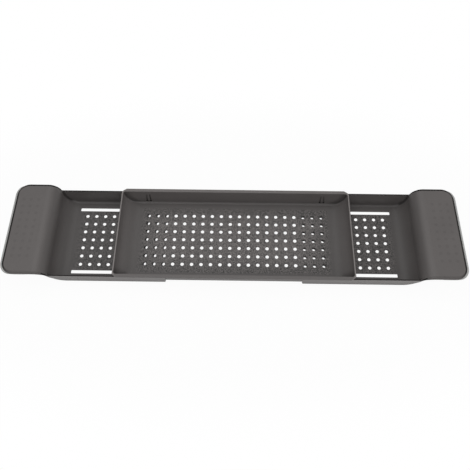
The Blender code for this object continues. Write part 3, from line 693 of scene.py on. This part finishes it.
def wing_section(sizes, centre, wing, floor_x):
    """The back half of a wing as a grid, one row for each X of the floor and of the curve after it.
    A row has 29 points: the seam; seven round the inner fillet, which is where a ball rolling
    between profile and wall touches them; three up the wall; two and five round the rim's edges;
    three down the outside; seven round the outer fillet, which fades as the scoop nears the rim;
    and the seam below. From the rim's height on the same points run over the arm's plate, its
    rounded edge, the skirt's outside, foot and inside, and back under the plate. The wall's inner
    end slants back evenly from a height down to its foot. Returns the grid, its edge values and
    half the arm's width."""
    under, rim, top = WING_LOW.z, WING_LOW.z + wing.wall_height, WING_HIGH.z
    floor, foot = under + sizes.floor, top - wing.skirt
    seam = wing.slot_line + SEAM_OUT
    slope, lean = sizes.slope, math.hypot(1, sizes.slope)

    def outside(height):
        return wing_side(sizes, centre, wing, np.minimum(height, rim)) + slope * (
            np.maximum(height, rim) - rim)

    def inside(height):
        return outside(height) - sizes.wall * lean

    def arm_side(height):
        return np.minimum(wing_side(sizes, centre, wing, height), WING_HIGH.y)

    def rolled(x, z, side, ball, shares, limit):
        ball_x, ball_z = x - ball * sine, z + ball * cosine
        first, second = (np.sin(share * bend) / np.sin(bend) for share in (1 - shares, shares))
        return (ball_x + ball * first * sine, side(ball_z) - ball * lean + ball * second / lean,
                np.minimum(ball_z - ball * (first * cosine + second * slope / lean), limit))

    curve_x, curve_z, steep, _ = wing_curve(sizes, wing)
    row_x, row_z = np.append(floor_x, curve_x), np.append(np.full(len(floor_x), floor), curve_z)
    theta = np.append(np.zeros(len(floor_x)), steep)
    split = int(np.argmin(np.abs(row_z - rim) + (theta == 0)))
    row_x, row_z, theta = (column(np.insert(value, split, value[split]))
                           for value in (row_x, row_z, theta))
    channel = column(np.arange(len(row_x)) <= split) > 0
    sine, cosine = np.sin(theta), np.cos(theta)
    low_x, low_z = row_x + sizes.floor * sine, row_z - sizes.floor * cosine
    bend = np.arccos(cosine * slope / lean)
    turns = np.linspace(0, 1, 7)
    quarters = np.array([0.25, 0.5, 0.75])
    out = np.linspace(0, math.pi / 2, 5)

    # The channel
    fillet_x, fillet_y, fillet_z = rolled(row_x, row_z, inside, sizes.inner_fillet, turns, rim)
    wall_x = row_x - sizes.inner_fillet * sine
    soft = np.clip(rim - fillet_z[:, -1:], 0, sizes.edge)
    wall_z = between(fillet_z[:, -1:], rim - soft, np.linspace(0, 1, 4)[1:])
    wall_y = np.maximum(inside(wall_z), fillet_y[:, -1:])
    bead = out[[2, 4]]
    fade = 1 - smooth(under + HEEL_FADE[0], rim - HEEL_FADE[1], row_z)
    heel = sizes.outer_fillet * fade + LEAST_HEEL * (1 - fade)
    heel_x, heel_y, heel_z = rolled(low_x, low_z, outside, heel, turns[::-1], rim - sizes.edge)
    face_z = between(rim - sizes.edge, heel_z[:, :1], quarters)
    channel_rows = section(
        (row_x, seam, row_z), (fillet_x, fillet_y, fillet_z), (wall_x, wall_y, wall_z),
        (wall_x, wall_y[:, -1:] + soft * (1 - np.cos(bead)), rim - soft * (1 - np.sin(bead))),
        (wall_x, outside(rim) - sizes.edge * (1 - np.sin(out)),
         rim - sizes.edge * (1 - np.cos(out))),
        (between(wall_x, heel_x[:, :1], quarters), outside(face_z), face_z),
        (heel_x, heel_y, heel_z), (low_x, seam, low_z))

    # The arm's plate and skirt. The edge's rounding grows from the rim's to the arm's.
    radius = sizes.edge + (wing.round - sizes.edge) * smooth(rim, top, row_z) ** 1.5
    side_y = arm_side(row_z)
    curl = (row_x + radius * sine - radius * sine * np.cos(out),
            side_y - radius + radius * np.sin(out),
            row_z - radius * cosine + radius * cosine * np.cos(out))
    foot_z = np.minimum(low_z, foot)
    fall = [between(part[:, -1:], end, quarters)
            for part, end in zip(curl, (low_x, arm_side(foot_z), foot_z))]
    skirt_z = between(foot_z, low_z, np.array([0, 0, 0.33, 0.66, 0.9, 1, 1]))
    skirt_y = inside(skirt_z) - np.array([0, 0, 0, 0, 0, *PLATE_FILLET])
    skirt_y[:, 0] = arm_side(skirt_z[:, 0])
    plate_y = between(fillet_y[:, :1], side_y - radius, np.linspace(0, 1, 13)[:-1])
    arm_rows = section((row_x, seam, row_z), (row_x, plate_y, row_z), curl, fall,
                       (low_x, skirt_y, skirt_z), (low_x, seam, low_z))
    band = np.where(channel[..., None], channel_rows, arm_rows)
    slant = np.clip(1 - (band[0, :, 2] - under) / wing.end_rise, 0, 1)
    band[0, :, 0] += wing.end_cut * slant * smooth(seam, inside(floor), band[0, :, 1])

    # Painted shade round the rim's outer edge, in the creases and round the arm, and painted light
    # down the outside
    lines = np.zeros(29)
    lines[11:16] = 1
    lines[16:26] = [-0.61, -0.61, -0.60, -0.52, -0.46, -0.39, -0.39, -0.39, -0.39, -0.39]
    crease = np.zeros(29)
    crease[2:8] = [0.4, 0.6, 0.7, 0.7, 0.6, 0.4]
    creased = smooth(floor + CREASE_START, floor + CREASE_FULL, row_z) * (theta > 0)
    from_curl = side_y - radius - arm_rows[:, :13, 1]
    curl_line = np.zeros(16)
    curl_line[:5] = [1, 1, 1, 1, 0.6]
    edged = np.concatenate([1 - smooth(*ARM_LINE, from_curl),
                            np.broadcast_to(curl_line, (len(row_x), 16))], axis=1)
    return band, np.where(channel, lines + creased * crease, edged), side_y[-1, 0]


def wing_mesh(sizes, centre, wing, turn):
    """A wing as one closed skin. Its section, wing_section's, is carried along the floor, the scoop
    and the roll, and mirrored to the front. Flat faces close the floor round the slots and the
    perforated block, and the plate's end. Round the arm's end the edge's profile is carried along
    the arm's outline, going over from the sides' profile to the end's by the squared direction."""
    under, top = WING_LOW.z, WING_HIGH.z
    floor, foot = under + sizes.floor, top - wing.skirt
    start_x, end_x = WING_LOW.x, WING_LOW.x + wing.floor_length
    seam = wing.slot_line + SEAM_OUT
    last = end_x - wing.last_hole
    columns = last - wing.hole_pitch * np.arange(WING_COLUMNS)[::-1]
    rows = about_middle(HOLE_ROWS, sizes.pitch)
    block_end, block_y = last + wing.hole_pitch / 2, sizes.pitch * HOLE_ROWS / 2
    line_y = cell_lines(rows, -block_y, block_y)
    floor_x = np.append(cell_lines(columns, start_x, block_end), [(block_end + end_x) / 2, end_x])
    band, dark, side_y = wing_section(sizes, centre, wing, floor_x[:-1])
    skin = Skin()
    skin.grid(band, edge=dark)
    skin.flat(band[0])

    # Slots: two flat faces round each, upper and lower, and the wall between them
    radius = wing.slot_corner
    flat = wing.slot_width / 2 - radius
    slot_out = end_x - wing.slot_end
    slot_in = slot_out - wing.slot_length
    bow = np.linspace(0, math.pi / 2, 7)
    near_x = np.concatenate([[slot_out], slot_out - radius + radius * np.cos(bow),
                             slot_in + radius - radius * np.sin(bow), [slot_in]])
    near_y = wing.slot_line - np.concatenate([[0], flat + radius * np.sin(bow),
                                              flat + radius * np.cos(bow), [0]])
    far_x, far_y = near_x[::-1], 2 * wing.slot_line - near_y[::-1]
    for half in (polygon((floor_x, block_y), (end_x, wing.slot_line), (near_x, near_y),
                         (start_x, wing.slot_line)),
                 polygon((start_x, wing.slot_line), (far_x, far_y), (end_x, wing.slot_line),
                         (floor_x[::-1], seam))):
        for height in (floor, under):
            skin.flat(at_height(half, height))
    slot = polygon((near_x, near_y), (far_x[1:-1], far_y[1:-1]))
    skin.grid(np.stack([at_height(slot, floor), at_height(slot, under)]), closed=True)
    skin.mirrored(1, lambda points: np.where(points[:, 2] > foot, FRONT_ARM_LINE, 1.0))

    # Scoop and roll between the seams, the floor's end, and the inner end's face
    lines_y = np.array([-seam, -wing.slot_line, -block_y, 0, block_y, wing.slot_line, seam])
    curve = len(floor_x) - 1
    for seam_line in (band[curve:, :1], band[curve:, -1:]):
        skin.grid(np.stack(np.broadcast_arrays(seam_line[..., 0], lines_y, seam_line[..., 2]),
                           axis=-1))
    block = polygon((block_end, line_y), (floor_x[-2], block_y), (end_x, lines_y[2:5][::-1]),
                    (floor_x[-2], -block_y))
    end_y = np.concatenate([lines_y[:2], line_y, lines_y[-2:]])
    inner_end = polygon((start_x, end_y))
    for height in (floor, under):
        skin.flat(at_height(block, height))
    skin.grid(np.stack([at_height(inner_end, floor), at_height(inner_end, under)]))
    covered = np.arange(WING_COLUMNS) < COVERED_COLUMNS
    out, back = wing.covered_right if turn > 0 else wing.covered_left
    perforated(skin, columns, rows, ((start_x, block_end), (-block_y, block_y)), wing.hole / 2,
               sizes, floor, under, (out * covered, back * covered))

    # The arm's edge, from the start of its rounding to the skirt's inside, round its corners
    side_o, side_z = band[-1, 3:28, 1] - side_y, band[-1, 3:28, 2]
    end_o = np.concatenate([side_o[:15], np.zeros(4), np.full(4, -sizes.wall),
                            -sizes.wall - np.array(PLATE_FILLET)])
    inner_x, inner_y = WING_HIGH.x - wing.corner, side_y - wing.corner
    arm_start = band[-1, 0, 0]
    stops = [(arm_start, inner_y, 90), (inner_x, inner_y, 90), (inner_x, inner_y, 0),
             (inner_x, -inner_y, 0), (inner_x, -inner_y, -90), (arm_start, -inner_y, -90)]
    stops = [(x, y, wing.corner, degrees) for x, y, degrees in stops + stops[-1:]]
    path_x, path_y, out_x, out_y = map(column, walked(stops, (4, 16, 8, 16, 4, 1)))
    offset = out_y ** 2 * side_o + out_x ** 2 * end_o
    sweep = section((path_x + out_x * offset, path_y + out_y * offset, side_z))
    # Painted shade round the arm's end edge
    end_line = np.zeros(25)
    end_line[10:15] = [0.8, 1, 1, 1, 0.6]
    sides = out_y ** 2 * np.where(out_y > 0, 1.0, FRONT_ARM_LINE) * dark[-1, 3:28]
    skin.grid(sweep, edge=sides + out_x ** 2 * end_line)
    front = band[-1] * np.array([1, -1, 1])
    for edge, corner, seam_end in ((sweep[:, 0], front[:3][::-1], band[-1, :3]),
                                   (sweep[:, -1], front[28:], band[-1, 28:])):
        x, _, z = seam_end[0]
        across = section((x, column(lines_y[1:-1]), z))[:, 0]
        skin.flat(np.concatenate([edge, corner, across, seam_end]))
    return skin.finished("wing_moulding", turn)


def grip_mesh(sizes, centre, wing, grip, turn):
    """A soft grip as one closed skin: the arm's outline carried through levels. It starts under the
    foot, swells to a bumper round the arm's outer end, comes back under the skirt's foot and rises
    as a pad inside the skirt. The bumper fades with the outline's direction, and is full where it
    faces outwards. Each level is how far the outline stands out there, and its height."""
    skirt_foot = WING_HIGH.z - wing.skirt
    foot = GRIP_LOW.z
    start = wing_curve(sizes, wing)[3] + grip.start
    reach = GRIP_HIGH.x - WING_HIGH.x + grip.swell
    width = wing_side(sizes, centre, wing, skirt_foot) - GRIP_INSET
    big, small = wing.corner, grip.inner_corner
    low_x, high_x = start + small, WING_HIGH.x - big
    stops = [(x, way * (width - radius), radius, degrees + step)
             for x, way, radius, degrees in ((high_x, -1, big, -90), (high_x, 1, big, 0),
                                             (low_x, 1, small, 90), (low_x, -1, small, 180))
             for step in (0, 90)]
    stops.append((high_x, big - width, big, 270))
    x, y, out_x, out_y = walked(stops, (14, 7) * 4)
    full = smooth(*BUMPER_FADE, out_x)
    within = np.where(out_x < -0.001, 0.0, 1.0)
    seat = skirt_foot - grip.gap
    rise = WING_HIGH.z - grip.drop - seat
    skirt = (sizes.wall + 2 * grip.gap) * within
    steps = [*((out, foot + up) for out, up in GRIP_FOOT),
             (full * reach * GRIP_BELLY[0], foot + GRIP_BELLY[1]),
             *((full * reach * out, seat + full * rise * up) for out, up in GRIP_PROFILE),
             (full * grip.gap * 1.6, seat + full * rise * 0.96),
             (full * grip.gap, seat + full * rise * 0.5), (full * grip.gap, seat),
             (-skirt, seat - within * SEAT_DIP), (-skirt, WING_HIGH.z - sizes.floor - grip.gap)]
    skin = Skin()
    points = np.stack([np.stack(np.broadcast_arrays(x + out_x * offset, y + out_y * offset, height),
                                axis=-1) for offset, height in steps])
    skin.grid(points, closed=True)
    skin.flat(points[0])
    skin.flat(points[-1])
    return skin.finished("grip_pad", turn)


def clip_mesh(clip, place):
    """A guide clip: a head with soft edges and a dimple below, and a pin with a cone-shaped tip,
    turned about its axis."""
    head = (CLIP_HIGH.x - CLIP_LOW.x) / 2
    top, thick, pin, dimple = CLIP_HIGH.z, clip.head_thickness, clip.pin, clip.dimple
    soft, fine, deep, tip = CLIP_SOFT, CLIP_SOFT / 4, CLIP_DIMPLE_DEPTH, CLIP_TIP
    profile = np.array([(0, deep), (dimple * 0.8, deep), (dimple, fine), (dimple + soft / 2, 0),
                        (head - 2 * soft, 0), (head - soft, fine), (head - fine, soft),
                        (head, 2 * soft), (head, thick - soft), (head - soft / 2, thick - fine),
                        (head - soft, thick), (pin + soft, thick), (pin, thick + soft),
                        (pin, top - tip), (pin * 0.7, top - fine), (pin * 0.5, top), (0, top)])
    skin = Skin()
    skin.grid(turned(profile, place, 40), closed=True)
    return skin.finished("guide_clip")


def linked(tree, kind, inputs=(), **settings):
    """A shader node with its settings made and its inputs linked or set."""
    node = tree.nodes.new("ShaderNode" + kind)
    for name, value in settings.items():
        setattr(node, name, value)
    for name, value in inputs:
        if isinstance(value, bpy.types.NodeSocket):
            tree.links.new(value, node.inputs[name])
        else:
            node.inputs[name].default_value = value
    return node


def new_material(name):
    """A material with its node tree and its shader."""
    material = bpy.data.materials.new(name)
    material.use_nodes = True
    return material, material.node_tree, material.node_tree.nodes["Principled BSDF"]


def moulded(name, base, shine, grain, depth, dimples=None, tones=None, floor_grain=None):
    """A moulded plastic: a base colour with faint cloudy variation, a fine grain in the surface and
    slightly uneven gloss, all from Object coordinates. Dimples, if given, are their depth, how much
    darker they are, which is painted shade, and then what dents takes. Tones, if given, are painted
    light and shade, and are what toned takes from its steps on: the steps by which the colour rises
    with the height, each a low height, a high one and the share at the low one, and the shares
    along the painted dark and light edges. Floor grain, if given, is what speckled takes from its
    reaches on, its painted light among them."""
    material, tree, shader = new_material(name)
    place = linked(tree, "TexCoord").outputs["Object"]
    cloud = noise(tree, place, CLOUD_SCALE, 3.0, 0.55)
    fine = noise(tree, place, GRAIN_SCALE / grain, 2.0, 0.6)
    level = product(tree, *(ramp(tree, source, *NOISE_RANGE, 1 - spread, 1 + spread, "LINEAR")
                            for source, spread in ((cloud, CLOUD_SPREAD), (fine, GRAIN_SPREAD))))
    if floor_grain:
        level = speckled(tree, place, level, *floor_grain)
    if tones:
        edge = linked(tree, "Attribute", attribute_name="edge").outputs["Fac"]
        level = toned(tree, place, edge, level, *tones)
        # Less reflection where the painted shade lies along the dark edges
        tree.links.new(ramp(tree, edge, 0.0, 1.0, 0.5, 0.05), shader.inputs["Specular IOR Level"])
    if dimples:
        dent = dents(tree, place, *dimples[2:])
        # Painted shade in the middle of each dimple
        level = product(tree, level, ramp(tree, dent, 0.0, 1.0, 1.0, 1 - dimples[1]))
    shade = linked(tree, "VectorMath", [(0, tuple(base)), ("Scale", level)], operation="SCALE")
    tree.links.new(shade.outputs[0], shader.inputs["Base Color"])
    gloss = ramp(tree, cloud, *NOISE_RANGE, shine - GLOSS_SPREAD, shine + GLOSS_SPREAD, "LINEAR")
    tree.links.new(gloss, shader.inputs["Roughness"])
    bump = linked(tree, "Bump", [("Height", fine), ("Strength", 1.0), ("Distance", depth)])
    if dimples:
        bump = linked(tree, "Bump", [("Height", dent), ("Strength", 1.0),
                                     ("Distance", -dimples[0]), ("Normal", bump.outputs[0])])
    tree.links.new(bump.outputs[0], shader.inputs["Normal"])
    shader.inputs["Metallic"].default_value = 0.0
    material.diffuse_color = (*base, 1.0)
    return material


def noise(tree, place, scale, detail, roughness):
    """Cloudy noise over a place."""
    return linked(tree, "TexNoise", [("Vector", place), ("Scale", scale), ("Detail", detail),
                                     ("Roughness", roughness)]).outputs["Fac"]


def maths(tree, operation, *values):
    """The result of one step of arithmetic."""
    return linked(tree, "Math", list(enumerate(values)), operation=operation).outputs[0]


def separated(tree, place):
    """The X, Y and Z of a place."""
    return linked(tree, "SeparateXYZ", [(0, place)]).outputs[:]


def product(tree, *values):
    """The values multiplied together."""
    result = values[0]
    for value in values[1:]:
        result = maths(tree, "MULTIPLY", result, value)
    return result


def ramp(tree, value, low, high, low_result=0.0, high_result=1.0, curve="SMOOTHSTEP"):
    """A change from one result to another while the value goes from low to high, by an S-curve or,
    with the curve LINEAR, evenly."""
    return linked(tree, "MapRange", [("Value", value), ("From Min", low), ("From Max", high),
                                     ("To Min", low_result), ("To Max", high_result)],
                  interpolation_type=curve).outputs[0]


def toned(tree, place, edge, level, steps, dark_edge, light_edge):
    """The level times an S-curve of the height for each step, and times the share for the edge
    value: the dark edge's share at one, the light edge's at minus one. Both are painted light and
    shade: darker lower down and along rims and creases, lighter along the lips."""
    height = separated(tree, place)[2]
    tones = [ramp(tree, height, low, high, share, 1.0) for low, high, share in steps]
    return product(tree, level, *tones, ramp(tree, edge, 0.0, 1.0, 1.0, dark_edge),
                   ramp(tree, edge, -1.0, 0.0, light_edge, 1.0))


def speckled(tree, place, level, reach_x, reach_y, top, size, strength, glow):
    """The level with a speckle on the perforated floor: times one plus noise that goes from minus
    the strength to the strength. It is lighter by the glow towards the floor's middle, painted
    light. Both end at a reach along X, one along Y and one in height; the glow fades from a share
    of each on."""
    within, glowing = [], []
    for part, reach, start in zip(separated(tree, place), (reach_x, reach_y, top), GLOW_STARTS):
        away = maths(tree, "ABSOLUTE", part)
        within.append(ramp(tree, away, reach * REACH_FADE[0], reach * REACH_FADE[1], 1.0, 0.0))
        glowing.append(ramp(tree, away, reach * start, reach * REACH_FADE[1], 1.0, 0.0))
    grain = noise(tree, place, GRAIN_SCALE / size, 0.0, 0.5)
    spread = ramp(tree, grain, *SPECKLE_RANGE, -strength, strength, "LINEAR")
    more = maths(tree, "ADD", product(tree, spread, *within), 1.0)
    return product(tree, level, more, ramp(tree, product(tree, *glowing), 0.0, 1.0, 1.0, 1.0 + glow))


def dents(tree, place, reach_x, reach_y, pitch_x, pitch_y, first, height):
    """One in the middle of each dimple and nought between them: round spots on a grid over the
    arms, over this height, from first on along X and to both sides of the middle along Y. A spot
    is an S-curve of the distance to the nearest point of the grid. Along each axis that is the
    pitch times how far the whole pitches, counted from the grid's start, are missed."""
    x, y, z = separated(tree, place)
    offsets, within = [], [maths(tree, "GREATER_THAN", z, height)]
    for part, start, pitch, reach in ((x, first, pitch_x, reach_x), (y, 0.0, pitch_y, reach_y)):
        away = maths(tree, "SUBTRACT", maths(tree, "ABSOLUTE", part), start)
        within += [maths(tree, "LESS_THAN", away, reach),
                   maths(tree, "GREATER_THAN", away, -pitch / 2)]
        count = maths(tree, "ADD", maths(tree, "DIVIDE", away, pitch), 100.5)    # Over nought
        missed = maths(tree, "SUBTRACT", maths(tree, "FRACT", count), 0.5)
        offset = maths(tree, "MULTIPLY", maths(tree, "ABSOLUTE", missed), pitch)
        offsets.append(maths(tree, "POWER", offset, 2.0))
    away = maths(tree, "SQRT", maths(tree, "ADD", *offsets))
    return product(tree, ramp(tree, away, *DIMPLE_EDGE, 1.0, 0.0), *within)


def finish_of(name):
    """One of the four finishes, made the first time that it is asked for."""
    made = bpy.data.materials.get(name)
    if made:
        return made
    finish = bpy.context.scene.tray_finish
    edges = (finish.dark_edge, finish.light_edge)
    tray = (finish.graphite, finish.shine, finish.grain, finish.grain_depth)
    if name == "centre moulding":
        # Painted shade, darker towards the bottom of the tray
        hollow = (finish.tone_low, finish.tone_high, finish.tone_share)
        return moulded(name, *tray, tones=([hollow], *edges), floor_grain=(
            *CENTRE_SPECKLED, finish.speckle, finish.speckle_strength, finish.floor_glow))
    if name == "wing moulding":
        arm = (finish.dimple_depth, finish.dimple_tone,
               (DIMPLE_COLUMNS - 0.5) * finish.dimple_along, DIMPLE_ROWS / 2 * finish.dimple_across,
               finish.dimple_along, finish.dimple_across, WING_HIGH.x - finish.dimple_inset,
               WING_HIGH.z - ARM_FACE)
        # A painted sheen on the arms' top, and painted shade towards the bottom of the wing
        arm_sheen = (WING_HIGH.z - ARM_SHEEN[0], WING_HIGH.z - ARM_SHEEN[1], finish.arm_share)
        low = (finish.tone_low, finish.tone_high, finish.tone_share / finish.arm_share)
        return moulded(name, *tray, arm, ([low, arm_sheen], *edges),
                       (*WING_SPECKLED, finish.speckle, finish.wing_speckle, finish.wing_glow))
    if name == "dark clip moulding":
        return moulded(name, finish.clip_grey, finish.clip_shine, finish.grain,
                       finish.grain_depth * 0.5)
    return moulded(name, finish.soft_grey, finish.soft_shine, finish.grain * 0.6,
                   finish.grain_depth * 1.5)    # Finer and deeper than the trays'


class TRAY_OT_centre(Operator):
    """Build the perforated centre tray with its flange, snap tongues and guide studs"""
    bl_idname = "bathtray.centre"
    bl_label = "Centre tray"

    def execute(self, context):
        scene, centre = context.scene, context.scene.tray_centre
        mesh, end, under = centre_mesh(scene.tray_moulding, centre)
        studs = Skin()
        for side, wall in CORNERS.values():
            place = (side * (end - centre.stud_inset), wall * scene.tray_wing.slot_line)
            stud_skin(studs, place, centre, under, WING_LOW.z)
        extra = studs.finished("guide_studs")
        bm = bmesh.new()
        for part in (mesh, extra):
            bm.from_mesh(part)
        bm.to_mesh(mesh)
        bm.free()
        bpy.data.meshes.remove(extra)
        shown("centre_tray_moulding", mesh, finish_of("centre moulding"), "centre",
              ["centre_tray"])
        return {"FINISHED"}


class TRAY_OT_wings(Operator):
    """Build the two wings, each a perforated channel with a scoop and a flat arm"""
    bl_idname = "bathtray.wings"
    bl_label = "Wings"

    def execute(self, context):
        scene = context.scene
        for side, word in SIDES:
            mesh = wing_mesh(scene.tray_moulding, scene.tray_centre, scene.tray_wing, side)
            shown(word + "_wing_moulding", mesh, finish_of("wing moulding"), word + "_wing",
                  [word + "_wing"])
        return {"FINISHED"}


class TRAY_OT_grips(Operator):
    """Build the soft grips under the arms, with a bumper round each arm's outer end"""
    bl_idname = "bathtray.grips"
    bl_label = "Soft grips"

    def execute(self, context):
        scene = context.scene
        for side, word in SIDES:
            mesh = grip_mesh(scene.tray_moulding, scene.tray_centre, scene.tray_wing,
                             scene.tray_grip, side)
            shown(word + "_grip_pad", mesh, finish_of("soft grip"), word + "_wing",
                  [word + "_grip"])
        return {"FINISHED"}


class TRAY_OT_clips(Operator):
    """Build the four guide clips under the wings' slots"""
    bl_idname = "bathtray.clips"
    bl_label = "Guide clips"

    def execute(self, context):
        for word in CORNERS:
            low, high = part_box("guide_clip_" + word)
            place = ((low.x + high.x) / 2, (low.y + high.y) / 2)
            mesh = clip_mesh(context.scene.tray_clip, place)
            shown("guide_clip_moulding_" + word, mesh, finish_of("dark clip moulding"), "centre",
                  ["guide_clip_" + word])
        return {"FINISHED"}


class TRAY_OT_stage(Operator):
    """Set the pale floor, the soft light and the camera"""
    bl_idname = "bathtray.stage"
    bl_label = "Stage"

    def execute(self, context):
        scene, stage = context.scene, context.scene.tray_stage
        reach = stage.floor_reach
        floor = bpy.data.meshes.new("floor")
        floor.from_pydata([(-reach, -reach, 0), (reach, -reach, 0), (reach, reach, 0),
                           (-reach, reach, 0)], [], [(0, 1, 2, 3)])
        floor.materials.append(pale_floor(stage))
        ground = placed("floor", floor)
        scene.world = bpy.data.worlds.new("studio")
        scene.world.use_nodes = True
        white_round(scene.world.node_tree, stage.sky)
        for name, power in (("overhead", stage.key), ("side", stage.side), ("front", stage.front)):
            lamp = bpy.data.lights.new(name, "AREA")
            lamp.energy = power
            lamp.shape = "RECTANGLE"
            place, (lamp.size, lamp.size_y) = LAMPS[name]
            light = placed(name, lamp)
            light.location = place
            turn_to_middle(light, place)
        lens = bpy.data.cameras.new("camera")
        lens.lens = stage.focal
        lens.sensor_width = 36.0
        lens.clip_start = 0.01
        camera = placed("camera", lens)
        up, about = stage.elevation, stage.azimuth
        away = np.array([math.sin(about) * math.cos(up), -math.cos(about) * math.cos(up),
                         math.sin(up)])
        camera.location = np.array(stage.target) + away * stage.distance
        camera.rotation_euler = (math.pi / 2 - up, 0, about)
        scene.camera = camera
        scene.view_settings.view_transform = "Standard"
        return {"FINISHED"}


def turn_to_middle(lamp, place):
    """Turns a lamp so that it shines from its place to the origin."""
    x, y, z = place
    lamp.rotation_euler = (math.atan2(math.hypot(x, y), z), 0, math.atan2(-y, -x) - math.pi / 2)


def pale_floor(stage):
    """A pale matt floor that shows white to the camera. Round the object it keeps a faint share of
    the shadow, which fades with the distance from the middle, its Y counted twice."""
    material, tree, shader = new_material("pale floor")
    shader.inputs["Base Color"].default_value = (*stage.floor_colour, 1.0)
    shader.inputs["Roughness"].default_value = 0.9
    shader.inputs["Specular IOR Level"].default_value = 0.0
    white = linked(tree, "Emission", [("Color", WHITE), ("Strength", 1.0)])
    place = linked(tree, "TexCoord").outputs["Object"]
    away = linked(tree, "VectorMath", [(0, place), (1, (1.0, 2.0, 1.0))],
                  operation="MULTIPLY").outputs[0]
    away = linked(tree, "VectorMath", [(0, away)], operation="LENGTH").outputs["Value"]
    plain = ramp(tree, away, stage.shadow_near, stage.shadow_far, 1 - stage.floor_shadow, 1.0)
    path = linked(tree, "LightPath").outputs
    seen = path["Is Camera Ray"]
    for kind in ("Is Glossy Ray", "Is Transmission Ray"):
        seen = maths(tree, "MAXIMUM", seen, path[kind])
    surface = mixed(tree, seen, shader, mixed(tree, plain, shader, white))
    tree.links.new(surface.outputs[0], tree.nodes["Material Output"].inputs["Surface"])
    return material


def mixed(tree, factor, first, second):
    """The first shader where the factor is nought, and the second where it is one."""
    return linked(tree, "MixShader", [("Fac", factor), (1, first.outputs[0]),
                                      (2, second.outputs[0])])


def white_round(tree, strength):
    """An even world light that shows white to the camera."""
    sky = tree.nodes["Background"]
    sky.inputs["Color"].default_value = WHITE
    sky.inputs["Strength"].default_value = strength
    white = linked(tree, "Background", [("Color", WHITE), ("Strength", 1.0)])
    seen = linked(tree, "LightPath").outputs["Is Camera Ray"]
    tree.links.new(mixed(tree, seen, sky, white).outputs[0],
                   tree.nodes["World Output"].inputs["Surface"])


class TRAY_PT_panel(Panel):
    """Lists the tray's operators and settings in the sidebar"""
    bl_label = "Bath tray"
    bl_idname = "TRAY_PT_panel"
    bl_space_type = "VIEW_3D"
    bl_region_type = "UI"
    bl_category = "Bath tray"

    def draw(self, context):
        layout = self.layout
        for operator in OPERATORS:
            layout.operator(operator.bl_idname)
        for name, kind in SETTINGS:
            box = layout.box()
            group = getattr(context.scene, name)
            for setting in kind.__annotations__:
                box.prop(group, setting)


SETTINGS = (("tray_moulding", MouldingSizes), ("tray_centre", CentreSizes),
            ("tray_wing", WingSizes), ("tray_grip", GripSizes), ("tray_clip", ClipSizes),
            ("tray_finish", FinishSettings), ("tray_stage", StageSettings))
OPERATORS = (TRAY_OT_centre, TRAY_OT_wings, TRAY_OT_grips, TRAY_OT_clips, TRAY_OT_stage)


def register():
    """Makes the settings, operators and panel known to Blender."""
    for name, kind in SETTINGS:
        bpy.utils.register_class(kind)
        setattr(bpy.types.Scene, name, PointerProperty(type=kind))
    for kind in (*OPERATORS, TRAY_PT_panel):
        bpy.utils.register_class(kind)


def unregister():
    """Takes them away again."""
    for kind in (TRAY_PT_panel, *reversed(OPERATORS)):
        bpy.utils.unregister_class(kind)
    for name, kind in reversed(SETTINGS):
        delattr(bpy.types.Scene, name)
        bpy.utils.unregister_class(kind)


def main():
    """Builds the whole scene."""
    register()
    bpy.ops.bathtray.centre()
    bpy.ops.bathtray.wings()
    bpy.ops.bathtray.grips()
    bpy.ops.bathtray.clips()
    bpy.ops.bathtray.stage()


if __name__ == "__main__":
    main()
